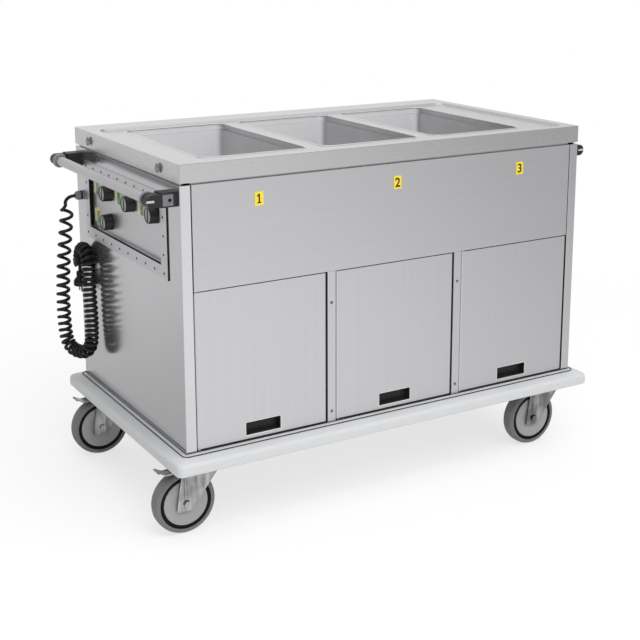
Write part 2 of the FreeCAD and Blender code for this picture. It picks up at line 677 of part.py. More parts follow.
def build_bumper():
    """Hollow rubber section round the base, open underneath, mitred at its four corners."""
    hx, hy, b = BASE_X + SEAT_GAP, BASE_Y + SEAT_GAP, BUMPER_WALL
    low, high = BUMPER_Z0 - 1, BUMPER_Z0 + BUMPER_H + 1
    ring = bumper_block(0).cut(slab(-hx, hx, -hy, hy, BASE_R, low, high))
    hollow = bumper_block(b).cut(slab(-hx - b, hx + b, -hy - b, hy + b, BASE_R, low, high))
    opened = hollow.copy()
    opened.translate(V(0, 0, -2))
    save("bumper_skirt", ring.cut([hollow, opened]).removeSplitter())


# ------------------------------------------------------------------ doors
def build_doors():
    pins = []
    t, fy = DOOR_SKIN, FACE_Y
    z0, z1 = DOOR_Z0, DOOR_Z1
    for i in range(WELL_COUNT):
        x0 = doorway_x(i)[0] + DOOR_GAP_HINGE
        x1 = x0 + DOOR_W
        block = box(x0, x1, -fy, DOOR_T - fy, z0, z1)
        block = block.makeFillet(DOOR_EDGE_R, pick_edges(block, upright_edge(x0, -fy)))
        hollow = box(x0 + t, x1 - t, t - fy, DOOR_T - fy + 1, z0 + t, z1 - t)
        hollow = hollow.makeFillet(DOOR_EDGE_R - t, pick_edges(hollow, upright_edge(x0 + t, t - fy)))
        px = x0 + PIN_IN
        bore = rod(PIN_R + RUN_CLEAR, (px, PIN_Y, z0 - 1), (0, 0, 1), PIVOT_BLOCK_H + 1)
        bore_top = rod(PIN_R + RUN_CLEAR, (px, PIN_Y, z1 + 1), (0, 0, -1), PIVOT_BLOCK_H + 1)
        mid = (x0 + x1) / 2
        gx0, gx1 = mid - GRIP_W / 2, mid + GRIP_W / 2
        gz0 = z0 + GRIP_LOW
        gz1 = gz0 + GRIP_H
        skin = block.cut([hollow, bore, bore_top, box(gx0, gx1, -fy - 1, t - fy + 1, gz0, gz1)])
        back = box(x0 + t, x1 - t, DOOR_T - t - fy, DOOR_T - fy, z0 + t, z1 - t)
        xb, yb, zb = x0 + PIVOT_BLOCK, PIVOT_BLOCK - fy, z0 + PIVOT_BLOCK_H
        cheek = box(x0 + DOOR_EDGE_R, xb, t - fy, yb, z0 + t, zb)
        edge = box(x0 + t, xb, DOOR_EDGE_R - fy, yb, z0 + t, zb)
        low = join(cheek, edge)
        high = low.copy()
        high.translate(V(0, 0, z1 - z0 - PIVOT_BLOCK_H - t))
        save("door_panel_%d" % (i + 1), skin, back, low.cut(bore), high.cut(bore_top))
        save("door_grip_%d" % (i + 1), grip_cup(gx0, gx1, gz0, gz1), door_catch(mid + CATCH_OFF, z0))
        pins += hinge_pins(px)
    save("hinge_pins", *pins)
    seals = []
    for i in range(WELL_COUNT):
        x1 = doorway_x(i)[1]
        seals.append(box(x1 - SEAL_W, x1, SEAL_IN - FACE_Y, SEAL_IN + SEAL_DEEP - FACE_Y, DOOR_Z0, DOOR_Z1))
    save("door_seals", *seals)


def grip_cup(x0, x1, z0, z1):
    g, w, fy, f = SEAT_GAP / 2, GRIP_T, FACE_Y, GRIP_FLANGE
    y0, y1 = g - fy, g - fy + GRIP_DEEP + w
    behind = DOOR_SKIN - fy
    cup = box(x0 + g, x1 - g, y0, y1, z0 + g, z1 - g)
    cup = join(cup, box(x0 - f, x1 + f, behind, behind + w, z0 - f, z1 + f))
    return cup.cut(box(x0 + g + w, x1 - g - w, y0 - 1, y1 - w, z0 + g + w, z1 - g - w))


def door_catch(x, z):
    """Small roller-catch nub under the door's lower edge."""
    nub = box(x - CATCH_W / 2, x + CATCH_W / 2, 3 - FACE_Y, 3 + CATCH_D - FACE_Y, z - CATCH_H, z)
    return nub.makeFillet(1.2, pick_edges(nub, level_edge(z - CATCH_H)))


def hinge_pins(px):
    """Lower pin with its collar on the base, upper pin with a washer under the fascia."""
    r, c, foot = PIN_R, COLLAR_R, BODY_Z0 - PIN_FOOT
    low = [(0, foot), (0, DOOR_Z0 + PIN_REACH), (r, DOOR_Z0 + PIN_REACH), (r, DOOR_Z0 - SEAT_GAP),
           (c, DOOR_Z0 - SEAT_GAP), (c, BODY_Z0), (r, BODY_Z0), (r, foot)]
    seat = FASCIA_Z0 - SEAT_GAP
    head = FASCIA_Z0 + HINGE_PLATE_T + 3
    high = [(0, DOOR_Z1 - PIN_REACH), (0, head), (r, head), (r, seat), (c, seat), (c, seat - WASHER_T),
            (r, seat - WASHER_T), (r, DOOR_Z1 - PIN_REACH)]
    return [revolved(low, (px, PIN_Y, 0), (0, 0, 1)), revolved(high, (px, PIN_Y, 0), (0, 0, 1))]


# ------------------------------------------------------------------ control end
def rivet_places():
    y0, y1 = PLATE_Y0 + RIVET_FRONT, PLATE_Y1 - RIVET_REAR
    z0, z1 = PLATE_Z0 + RIVET_IN, PLATE_Z1 - RIVET_IN
    ys = [y0 + k * (y1 - y0) / (RIVET_COLS - 1) for k in range(RIVET_COLS)]
    zs = [z0 + k * (z1 - z0) / (RIVET_ROWS - 1) for k in range(RIVET_ROWS)]
    places = [(y, z) for y in ys for z in (zs[0], zs[-1])]
    places += [(y, z) for y in (ys[0], ys[-1]) for z in zs[1:-1]]
    return places


def knob_places():
    row = [(KNOB_Y - k * KNOB_PITCH, KNOB_Z) for k in range(KNOB_COUNT)]
    return row + [(KNOB_Y, KNOB_Z - KNOB_DROP)]


def build_control_end():
    fx, t = FACE_X, BOX_T
    plate = end_slab(PLATE_Y0, PLATE_Y1, PLATE_Z0, PLATE_Z1, PLATE_R, PLATE_X, -fx)
    window = end_slab(WINDOW_Y0, WINDOW_Y1, WINDOW_Z0, WINDOW_Z1, WINDOW_R, PLATE_X - 1, 1 - fx)
    bore = RIVET_R + RUN_CLEAR
    holes = [rod(bore, (PLATE_X - 1, y, z), (1, 0, 0), PLATE_T + 2) for y, z in rivet_places()]
    save("control_plate", plate.cut([window] + holes))
    profile = [(0, -PLATE_T), (0, RIVET_HEAD_H), (0.6 * RIVET_HEAD_R, 0.85 * RIVET_HEAD_H),
               (RIVET_HEAD_R, 0.2 * RIVET_HEAD_H), (RIVET_HEAD_R, 0), (RIVET_R, 0), (RIVET_R, -PLATE_T)]
    save("plate_rivets", *[revolved(profile, (PLATE_X, y, z), (-1, 0, 0)) for y, z in rivet_places()])

    g = SEAT_GAP / 2
    y0, y1, z0, z1 = WINDOW_Y0 + g, WINDOW_Y1 - g, WINDOW_Z0 + g, WINDOW_Z1 - g
    shell = end_slab(y0, y1, z0, z1, WINDOW_R - g, PLATE_X + g, WALL_X + t)
    inner = PANEL_T - fx
    f = BOX_FLANGE
    lip = end_slab(y0 - f, y1 + f, z0 - f, z1 + f, WINDOW_R + f, inner, inner + t)
    shell = join(shell, lip)
    shell = shell.cut(end_slab(y0 + t, y1 - t, z0 + t, z1 - t, WINDOW_R - g - t, PLATE_X - 1, WALL_X))
    shell = shell.cut([rod(SHAFT_R + 2, (WALL_X - 1, y, z), (1, 0, 0), t + 2) for y, z in knob_places()])
    save("control_box", shell)

    stats, tags = [], []
    for n, (y, z) in enumerate(knob_places()):
        save("knob_%d" % (n + 1), knob(y, z))
        h = STAT_SIZE / 2
        back = WALL_X + t
        body = box(back, back + STAT_DEEP, y - h, y + h, z - h, z + h)
        reach = KNOB_OFF + SHAFT_IN + t
        stats.append(join(body, rod(SHAFT_R, (back, y, z), (-1, 0, 0), reach)))
        ty, k, m = y + TAG_OFF, TAG_W / 2, TAG_H / 2
        tags.append(box(WALL_X - TAG_T, WALL_X, ty - k, ty + k, z - m, z + m))
    save("thermostats", *stats)
    save("knob_tags", *tags)


def knob(y, z):
    """Drafted cap knob, face sunk beside a finger bar, blind bore for the shaft."""
    r, n = KNOB_R, KNOB_LEN
    profile = [(0, 0), (r, 0), (r - KNOB_SKIRT, n - 1.5), (r - KNOB_SKIRT - 1.5, n), (0, n)]
    body = revolved(profile, (0, 0, 0), (0, 0, 1))
    face = Part.makeCylinder(r - KNOB_SKIRT - KNOB_RIM, KNOB_FACE_IN + 1, V(0, 0, n - KNOB_FACE_IN))
    bar = box(-KNOB_BAR / 2, KNOB_BAR / 2, -r, r, n - KNOB_FACE_IN - 1, n + 2)
    body = body.cut(face.cut(bar))
    body = body.cut(Part.makeCylinder(SHAFT_R + RUN_CLEAR, SHAFT_IN + 1, V(0, 0, -0.5)))
    body.Placement = FreeCAD.Placement(V(WALL_X - KNOB_OFF, y, z), FreeCAD.Rotation(V(0, 1, 0), -90))
    return body


# ------------------------------------------------------------------ handles
def bracket(reach):
    """Left front bracket: block on the end panel, arm with a round end, socket for the bar."""
    axis_x = -FACE_X - HANDLE_OUT
    far, near = -reach, FOOT_W - reach
    h = FOOT_H / 2
    foot = end_slab(far, near, HANDLE_Z - h, HANDLE_Z + h, FOOT_R, -FACE_X - FOOT_L, -FACE_X)
    y1 = far + ARM_T
    arm = join(box(axis_x, -FACE_X - FOOT_L + 4, far, y1, HANDLE_Z - ARM_R, HANDLE_Z + ARM_R),
               rod(ARM_R, (axis_x, far, HANDLE_Z), (0, 1, 0), ARM_T))
    body = join(foot, arm)
    body = body.cut(rod(BAR_R + RUN_CLEAR, (axis_x, y1 - SOCKET_DEEP, HANDLE_Z), (0, 1, 0), SOCKET_DEEP + 1))
    xa, xb, r = axis_x - SLOT_OUT - SLOT_L / 2, axis_x - SLOT_OUT + SLOT_L / 2, SLOT_R
    slot = join(box(xa, xb, far - 1, far + SLOT_DEEP, HANDLE_Z - r, HANDLE_Z + r),
                rod(r, (xa, far - 1, HANDLE_Z), (0, 1, 0), SLOT_DEEP + 1),
                rod(r, (xb, far - 1, HANDLE_Z), (0, 1, 0), SLOT_DEEP + 1))
    return body.cut(slot)


def bracket_cap(reach):
    """Screw cover on the bracket's corner-side face."""
    x1 = -FACE_X - CAP_X
    h = CAP_H / 2
    return box(x1 - CAP_LEN, x1, -reach - CAP_T, -reach, HANDLE_Z - h, HANDLE_Z + h)


def bar_collar(reach):
    axis_x = -FACE_X - HANDLE_OUT
    y = ARM_T - reach
    bore, r = BAR_R + RUN_CLEAR, BAR_R + COLLAR_GROW
    profile = [(bore, 0), (r, 0), (r, 0.6 * COLLAR_T), (r - 0.5 * COLLAR_GROW, COLLAR_T), (bore, COLLAR_T)]
    return revolved(profile, (axis_x, y, HANDLE_Z), (0, 1, 0))


def push_bar(reach):
    axis_x = -FACE_X - HANDLE_OUT
    end = reach - ARM_T + SOCKET_DEEP - SEAT_GAP
    tube = rod(BAR_R, (axis_x, -end, HANDLE_Z), (0, 1, 0), 2 * end)
    return tube.cut(rod(BAR_R - BAR_WALL, (axis_x, -end - 1, HANDLE_Z), (0, 1, 0), 2 * end + 2))


def build_handles():
    save("handle_bar_left", push_bar(FOOT_FAR))
    save("handle_bar_right", mirror_x(push_bar(FOOT_FAR_RIGHT)))
    pieces = (("handle_brackets", bracket), ("bracket_caps", bracket_cap), ("bar_collars", bar_collar))
    for name, make in pieces:
        left, right = make(FOOT_FAR), mirror_x(make(FOOT_FAR_RIGHT))
        save(name, left, mirror_y(left), right, mirror_y(right))


def build_studs():
    """Two headed studs on the left skirt, for a hook-on shelf."""
    r, n, k, h = STUD_R, STUD_NECK_R, STUD_NECK, STUD_HEAD
    profile = [(0, 0), (0, k + h), (0.45 * r, k + 0.93 * h), (0.8 * r, k + 0.66 * h)]
    profile += [(r, k + 0.2 * h), (r, k), (n, k), (n, 0)]
    x = -TOP_LEN / 2
    save("skirt_studs", *[revolved(profile, (x, y, STUD_Z), (-1, 0, 0)) for y in (-STUD_Y, STUD_Y)])


# ------------------------------------------------------------------ castors
def castor_mount():
    """Bolted top plate, upper race, kingpin and its nut, with the swivel axis on Z at x = y = 0."""
    hx, hy = MOUNT_X / 2, MOUNT_Y / 2
    plate = slab(-hx, hx, -hy, hy, 10, RACE_Z1, BASE_Z0)
    for x in (-MOUNT_HOLE_X / 2, MOUNT_HOLE_X / 2):
        for y in (-MOUNT_HOLE_Y / 2, MOUNT_HOLE_Y / 2):
            plate = plate.cut(rod(MOUNT_HOLE_R, (x, y, RACE_Z1 - 1), (0, 0, 1), MOUNT_T + 2))
    top = RACE_Z1
    low = crown_top() + SEAT_GAP
    nut = CROWN_Z0 - SEAT_GAP
    r = CROWN_R
    profile = [(0, nut - NUT_H), (0, top + 0.5), (r - RACE_T, top + 0.5), (r - RACE_T, top)]
    profile += [(r, low + RACE_T / 4), (r, low), (KINGPIN_R, low), (KINGPIN_R, nut)]
    profile += [(NUT_R, nut), (NUT_R, nut - NUT_H)]
    return join(plate, revolved(profile, (0, 0, 0), (0, 0, 1)))


def hexagon(r, x, y, z, height):
    pts = [V(x + r * math.cos(k * math.pi / 3), y + r * math.sin(k * math.pi / 3), z) for k in range(7)]
    return Part.Face(Part.makePolygon(pts)).extrude(V(0, 0, height))


def mount_bolts():
    """Hexagon bolts up through the mount's plate and the base's channel, with their nuts."""
    bolts = []
    foot, top = RACE_Z1 - BOLT_HEAD_H, BASE_Z0 + CHANNEL_T
    for x in (-MOUNT_HOLE_X / 2, MOUNT_HOLE_X / 2):
        for y in (-MOUNT_HOLE_Y / 2, MOUNT_HOLE_Y / 2):
            shank = rod(BOLT_R, (x, y, foot), (0, 0, 1), top + BOLT_NUT_H + BOLT_R - foot)
            head = hexagon(BOLT_HEAD_R, x, y, foot, BOLT_HEAD_H)
            bolts.append(join(shank, head, hexagon(BOLT_HEAD_R, x, y, top, BOLT_NUT_H)))
    return bolts


def crown_top():
    return CROWN_Z0 + CROWN_T + RACE_T


def fork():
    """Pressed fork: lower race, crown plate, two tapered legs, ears for the pedal's pin."""
    leg_in = HUB_W / 2 + LEG_GAP
    leg_out = leg_in + LEG_T
    z1 = CROWN_Z0 + CROWN_T
    ear_x0, ear_x1 = -PEDAL_PIN_BACK - EAR_W / 2, EAR_W / 2 - PEDAL_PIN_BACK
    front = CROWN_FRONT
    crown = slab(ear_x1 + 1, front, -leg_out, leg_out, 2, CROWN_Z0, z1)
    top = crown_top()
    profile = [(0, CROWN_Z0), (CROWN_R - CROWN_T, CROWN_Z0), (CROWN_R, z1), (CROWN_R, top), (0, top)]
    race = revolved(profile, (0, 0, 0), (0, 0, 1))
    toe, sole = -TRAIL - LEG_TOE, AXLE_Z - LEG_SOLE
    outline = [(ear_x0, z1), (front, z1), (front, CROWN_Z0 - 6), (LEG_BOSS_R - TRAIL + 6, AXLE_Z - 5)]
    outline += [(LEG_BOSS_R - TRAIL - 3, sole), (toe + 3, sole), (toe, sole + 3)]
    outline += [(ear_x0 - 3, CROWN_Z0 - 14)]
    n = LEG_RIB_IN
    above = AXLE_Z + AXLE_HEAD_R + n
    rib = [(ear_x0 + n, z1 - n), (front - 2 * n, z1 - n), (front - 2 * n, CROWN_Z0 - n - 2),
           (-TRAIL + 2, above), (-TRAIL - n, above), (ear_x0 + n - 2, CROWN_Z0 - 2 * n)]
    parts = [crown, race]
    for s in (-1, 1):
        ya, yb = sorted((s * leg_in, s * leg_out))
        parts.append(polygon_y(outline, ya, yb))
        parts.append(polygon_y(rib, *sorted((s * leg_out, s * (leg_out + LEG_RIB)))))
        parts.append(rod(LEG_BOSS_R, (-TRAIL, ya, AXLE_Z), (0, 1, 0), LEG_T))
        ya, yb = sorted((s * leg_out, s * (PEDAL_W / 2 + SEAT_GAP)))
        parts.append(box(ear_x0, ear_x1, ya, yb, CROWN_Z0, PEDAL_PIN_Z + EAR_W / 2))
    body = join(*parts)
    body = body.cut(rod(KINGPIN_R + RUN_CLEAR, (0, 0, CROWN_Z0 - 1), (0, 0, 1), crown_top() - CROWN_Z0 + 2))
    body = body.cut(rod(AXLE_R + RUN_CLEAR, (-TRAIL, -leg_out - 1, AXLE_Z), (0, 1, 0), 2 * leg_out + 2))
    pin = rod(PEDAL_PIN_R, (-PEDAL_PIN_BACK, -leg_out - 1, PEDAL_PIN_Z), (0, 1, 0), 2 * leg_out + 2)
    return body.cut(pin)


def axle():
    leg_out = HUB_W / 2 + LEG_GAP + LEG_T
    reach = leg_out + AXLE_HEAD_H
    shank = rod(AXLE_R, (-TRAIL, -reach, AXLE_Z), (0, 1, 0), 2 * reach)
    heads = []
    for y in (-reach, leg_out):
        turns = [k * math.pi / 3 for k in range(7)]
        pts = [V(-TRAIL + AXLE_HEAD_R * math.cos(a), y, AXLE_Z + AXLE_HEAD_R * math.sin(a)) for a in turns]
        heads.append(Part.Face(Part.makePolygon(pts)).extrude(V(0, AXLE_HEAD_H, 0)))
    return join(shank, *heads)


def wheel():
    """Rim with hub and web; tyre with a crowned tread."""
    ri = WHEEL_R - TYRE_THICK
    w, hub, web = WHEEL_W / 2, HUB_W / 2, WEB_W / 2
    bore = AXLE_R + RUN_CLEAR
    e, s = RIM_EDGE, TYRE_SHOULDER
    half = [(bore, hub), (HUB_R - e, hub), (HUB_R, hub - e / 2), (HUB_R + e, web), (ri - 4 * e, web),
            (ri - 3 * e, w - e), (ri, w - e)]
    rim = half + [(p, -q) for p, q in reversed(half)]
    half = [(ri, w - e), (ri + e, w), (WHEEL_R - s, w), (WHEEL_R - s / 4, w - s / 2), (WHEEL_R, w - 1.4 * s)]
    tyre = half + [(p, -q) for p, q in reversed(half)]
    place = (-TRAIL, 0, AXLE_Z)
    return revolved(rim, place, (0, 1, 0)), revolved(tyre, place, (0, 1, 0))


def pedal():
    """Brake pedal behind the crown: pressed lever on a cross pin, shoe under it, lip at its end."""
    x0, z = -PEDAL_PIN_BACK, PEDAL_PIN_Z
    t, n, half = PEDAL_T, PEDAL_LEN, PEDAL_W / 2
    low, high = z - PEDAL_DIP, z + PEDAL_KICK
    side = [(x0 + 4, z - 3.5), (x0 + 4, z + 4), (x0 - 9, z + 4), (x0 - 0.48 * n, low), (x0 - 0.68 * n, low)]
    side += [(x0 - 0.93 * n, high), (x0 - n, high), (x0 - n, high - t), (x0 - 0.92 * n, high - t)]
    side += [(x0 - 0.7 * n, low - t), (x0 - 0.46 * n, low - t), (x0 - 11, z - 3.5)]
    lever = polygon_y(side, -half, half)
    xs = x0 - SHOE_BACK
    shoe = box(xs - SHOE_LEN, xs, -half + 4, half - 4, SHOE_Z0, z - 1)
    reach = HUB_W / 2 + LEG_GAP
    return join(lever, shoe, rod(PEDAL_PIN_R - RUN_CLEAR, (x0, -reach, z), (0, 1, 0), 2 * reach))


def build_castors():
    mount, frame, bolt, (rim, tyre), lever = castor_mount(), fork(), axle(), wheel(), pedal()
    bolts = mount_bolts()
    mounts, fixings = [], []
    for tag, sx, sy in (("fl", -1, -1), ("fr", 1, -1), ("rl", -1, 1), ("rr", 1, 1)):
        move = V(sx * CASTOR_X, sy * CASTOR_Y, 0)

        def at(shape):
            out = shape.copy()
            out.translate(move)
            return out

        mounts.append(at(mount))
        fixings += [at(b) for b in bolts]
        save("castor_fork_" + tag, at(frame), at(bolt))
        save("castor_wheel_" + tag, at(rim), at(tyre))
        save("brake_pedal_" + tag, at(lever))
    save("castor_mounts", *mounts)
    save("castor_bolts", *fixings)


# ------------------------------------------------------------------ supply lead
def routed_tube(name, points, diameter):
    """Tube along straight runs joined by tangent arcs; prints its radii and checks its volume."""
    pts = [V(*p) for p in points]
    edges, radii, start = [], [], pts[0]
    for k in range(1, len(pts) - 1):
        a, b, c = pts[k - 1], pts[k], pts[k + 1]
        u, v = (a - b), (c - b)
        lu, lv = u.Length, v.Length
        u.normalize()
        v.normalize()
        turn = math.pi - math.acos(max(-1.0, min(1.0, u.dot(v))))
        cut = 0.45 * min(lu, lv)
        radius = cut / math.tan(turn / 2)
        radii.append(radius)
        p, q = b + u * cut, b + v * cut
        half = (u + v)
        half.normalize()
        centre_far = radius / math.cos(turn / 2)
        mid = b + half * (centre_far - radius)
        edges.append(Part.LineSegment(start, p).toShape())
        edges.append(Part.Arc(p, mid, q).toShape())
        start = q
    edges.append(Part.LineSegment(start, pts[-1]).toShape())
    path = Part.Wire(edges)
    first = pts[1] - pts[0]
    ring = Part.Wire(Part.makeCircle(diameter / 2, pts[0], first))
    tube = path.makePipeShell([ring], True, False)
    want = math.pi * diameter ** 2 / 4 * path.Length
    print("%s length %.1f radii %s volume ratio %.4f" % (name, path.Length, [round(r, 1) for r in radii],
                                                         tube.Volume / want))
    return tube


def build_lead():
    fx, y, z = FACE_X, GLAND_Y, GLAND_Z
    base = rod(GLAND_BASE_R, (-fx, y, z), (-1, 0, 0), GLAND_BASE_T)
    r = GLAND_R
    n, bore = GLAND_LEN, LEAD_D / 2
    profile = [(bore, GLAND_BASE_T), (r, GLAND_BASE_T), (r, 0.5 * n), (r - 1, 0.55 * n), (r - 2, 0.85 * n),
               (bore + 3, n), (bore, n)]
    nut = revolved(profile, (-fx, y, z), (-1, 0, 0))
    thread = rod(0.6 * r, (-fx, y, z), (1, 0, 0), PANEL_T + 9)
    inside = rod(r, (PANEL_T - fx, y, z), (1, 0, 0), 5)
    save("cord_gland", join(base, nut, thread, inside, rod(LEAD_D / 2, (-fx, y, z), (-1, 0, 0), GLAND_LEN)))

    save("cord_lead", routed_tube("lead", LEAD_ROUTE, LEAD_D))
    save("cord_coil", routed_tube("coil", COIL_ROUTE, COIL_D))

    k = HOOK_LEN
    profile = [(0, 0), (HOOK_BASE_R, 0), (HOOK_BASE_R, HOOK_BASE_T - 2), (HOOK_BASE_R - 4, HOOK_BASE_T),
               (HOOK_R, HOOK_BASE_T), (HOOK_R, k - HOOK_HEAD_T - 1), (HOOK_HEAD_R, k - HOOK_HEAD_T),
               (HOOK_HEAD_R, k - 2), (HOOK_HEAD_R - 4, k), (0, k)]
    save("cord_hook", revolved(profile, (-fx, HOOK_Y, HOOK_Z), (-1, 0, 0)))

    tip = COIL_ROUTE[-1]
    n = PLUG_LEN
    profile = [(0, 0), (PLUG_NECK_R, 0), (PLUG_NECK_R + 2, 0.35 * n), (PLUG_R, 0.55 * n), (PLUG_R, n - 2),
               (PLUG_R - 1.5, n), (0, n)]
    plug = revolved(profile, tip, (0, 0, -1))
    for s in (-1, 1):
        spot = (tip[0], tip[1] + s * PLUG_PIN_SPREAD, tip[2] - n + 1)
        plug = plug.fuse(rod(PLUG_PIN_R, spot, (0, 0, -1), PLUG_PIN_LEN + 1))
    save("cord_plug", plug)


def main():
    os.makedirs("parts", exist_ok=True)
    build_worktop()
    build_wells()
    build_end_panel()
    build_long_sides()
    build_mullions()
    build_liners()
    build_numbers()
    build_base()
    build_bumper()
    build_doors()
    build_control_end()
    build_handles()
    build_studs()
    build_castors()
    build_lead()
    for name, shape in NODES:
        b = shape.BoundBox
        if not shape.isValid():
            print("not valid:", name)
        print("%-20s solids %2d  x %.1f %.1f  y %.1f %.1f  z %.1f %.1f  vol %.0f" % (
            name, len(shape.Solids), b.XMin, b.XMax, b.YMin, b.YMax, b.ZMin, b.ZMax, shape.Volume))


main()
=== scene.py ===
"""Looks for a three-well hot-food serving trolley, laid out as an add-on and run as a script."""

import math

import bmesh
import bpy
from bpy.props import FloatProperty, FloatVectorProperty, IntProperty, PointerProperty
from mathutils import Matrix, Vector


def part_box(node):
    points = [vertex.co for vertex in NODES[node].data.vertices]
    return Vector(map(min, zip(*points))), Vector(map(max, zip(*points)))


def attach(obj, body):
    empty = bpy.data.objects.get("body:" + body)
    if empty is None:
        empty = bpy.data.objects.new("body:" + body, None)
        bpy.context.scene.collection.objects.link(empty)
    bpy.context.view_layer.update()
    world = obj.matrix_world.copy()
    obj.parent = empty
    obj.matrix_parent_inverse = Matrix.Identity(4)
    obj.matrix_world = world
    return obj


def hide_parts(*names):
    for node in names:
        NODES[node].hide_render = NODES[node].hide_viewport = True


bl_info = {
    "name": "Hot-food trolley looks",
    "version": (1, 0, 0),
    "blender": (4, 5, 0),
    "location": "3D View > Sidebar > Trolley",
    "description": "Dresses the trolley's frame with finishes, small pieces, the coiled lead and a stage",
    "category": "Object",
}

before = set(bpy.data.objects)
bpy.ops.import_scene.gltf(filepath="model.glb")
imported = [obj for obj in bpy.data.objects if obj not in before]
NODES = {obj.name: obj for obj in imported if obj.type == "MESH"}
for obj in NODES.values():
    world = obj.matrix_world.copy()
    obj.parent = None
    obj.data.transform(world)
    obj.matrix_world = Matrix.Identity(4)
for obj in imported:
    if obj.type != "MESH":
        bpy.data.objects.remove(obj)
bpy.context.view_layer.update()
CASTORS = ("fl", "fr", "rl", "rr")
BAYS = (1, 2, 3)        # wells, cupboards and doors, from the left
KNOBS = (1, 2, 3, 4)

PANEL_FACE = 0.619      # the end panels' outer faces, from the middle
FOLD_EASE = 0.0006      # rounding of a folded sheet's edges
SMOOTH_UP_TO = 50.0     # degrees up to which neighbouring faces share a normal
SCREW_R = 0.0042        # radius of the cross-head screws
KNOB_MARKS = 36         # division marks round a knob's face
PICTURE_PX = 640
SENSOR_MM = 36.0


# ------------------------------------------------------------------ sizes and colours
class StageSettings(bpy.types.PropertyGroup):
    eye: FloatVectorProperty(name="Eye", description="Where the camera stands", subtype="XYZ", unit="LENGTH",
                             default=(-1.7911, -3.0208, 1.4734))
    azimuth: FloatProperty(name="Azimuth", description="Turn of the view about the upright axis, in degrees",
                           default=-31.4916)
    elevation: FloatProperty(name="Elevation", description="Fall of the view below level, in degrees",
                             default=12.8012)
    roll: FloatProperty(name="Roll", description="Tilt of the picture, in degrees", default=0.1087)
    focal_px: FloatProperty(name="Focal length", description="Focal length in pixels of a 640 pixel frame",
                            default=1247.5)
    shift_x: FloatProperty(name="Shift across", description="Sideways lens shift", default=-0.04)
    shift_y: FloatProperty(name="Shift up", description="Upward lens shift", default=-0.15)
    sky: FloatProperty(name="High light", description="Strength of the broad light from above", default=0.7)
    key: FloatProperty(name="Near light", description="Power of the soft light ahead of the left end",
                       unit="POWER", default=50.0)
    room: FloatProperty(name="Room light", description="Strength of the even light all round", default=0.7)
    whitened: FloatProperty(name="Floor lift", subtype="FACTOR", min=0.0, max=1.0, default=0.68,
                            description="Share of plain white in the near floor that the camera sees")


class SteelSettings(bpy.types.PropertyGroup):
    panel: FloatVectorProperty(name="Panel steel", description="Colour of the brushed sheets",
                               subtype="COLOR", default=(0.62, 0.62, 0.635))
    pressed: FloatVectorProperty(name="Worktop steel", description="Colour of the worktop and wells",
                                 subtype="COLOR", default=(0.66, 0.66, 0.67))
    zinc: FloatVectorProperty(name="Zinc plate", description="Colour of the castor forks", subtype="COLOR",
                              default=(0.53, 0.53, 0.54))
    rim_bead: FloatProperty(name="Well bead", description="Radius of the bead round each well", unit="LENGTH",
                            default=0.0022, precision=4)
    rivet: FloatProperty(name="Rivet head", description="Radius of a rivet's head", unit="LENGTH",
                         default=0.0034, precision=4)


class RubberSettings(bpy.types.PropertyGroup):
    bumper: FloatVectorProperty(name="Bumper", description="Colour of the bumper", subtype="COLOR",
                                default=(0.64, 0.65, 0.66))
    tyre: FloatVectorProperty(name="Tyre", description="Colour of the tyres", subtype="COLOR",
                              default=(0.19, 0.19, 0.195))
    disc: FloatVectorProperty(name="Wheel disc", description="Colour of the wheel discs", subtype="COLOR",
                              default=(0.38, 0.38, 0.385))
    black: FloatVectorProperty(name="Black plastic", description="Colour of grips, brackets and knobs",
                               subtype="COLOR", default=(0.022, 0.022, 0.024))
    label: FloatVectorProperty(name="Number label", description="Yellow of the numbered labels",
                               subtype="COLOR", default=(0.9, 0.68, 0.02))


class LeadSettings(bpy.types.PropertyGroup):
    cable: FloatProperty(name="Cable", description="Diameter of the cable", unit="LENGTH", default=0.0095,
                         precision=4)
    coil: FloatProperty(name="Coil", description="Outside diameter of the coiled part", unit="LENGTH",
                        default=0.041, precision=4)
    steps: IntProperty(name="Steps per turn", description="Points in one turn of the coil", default=14,
                       min=12)


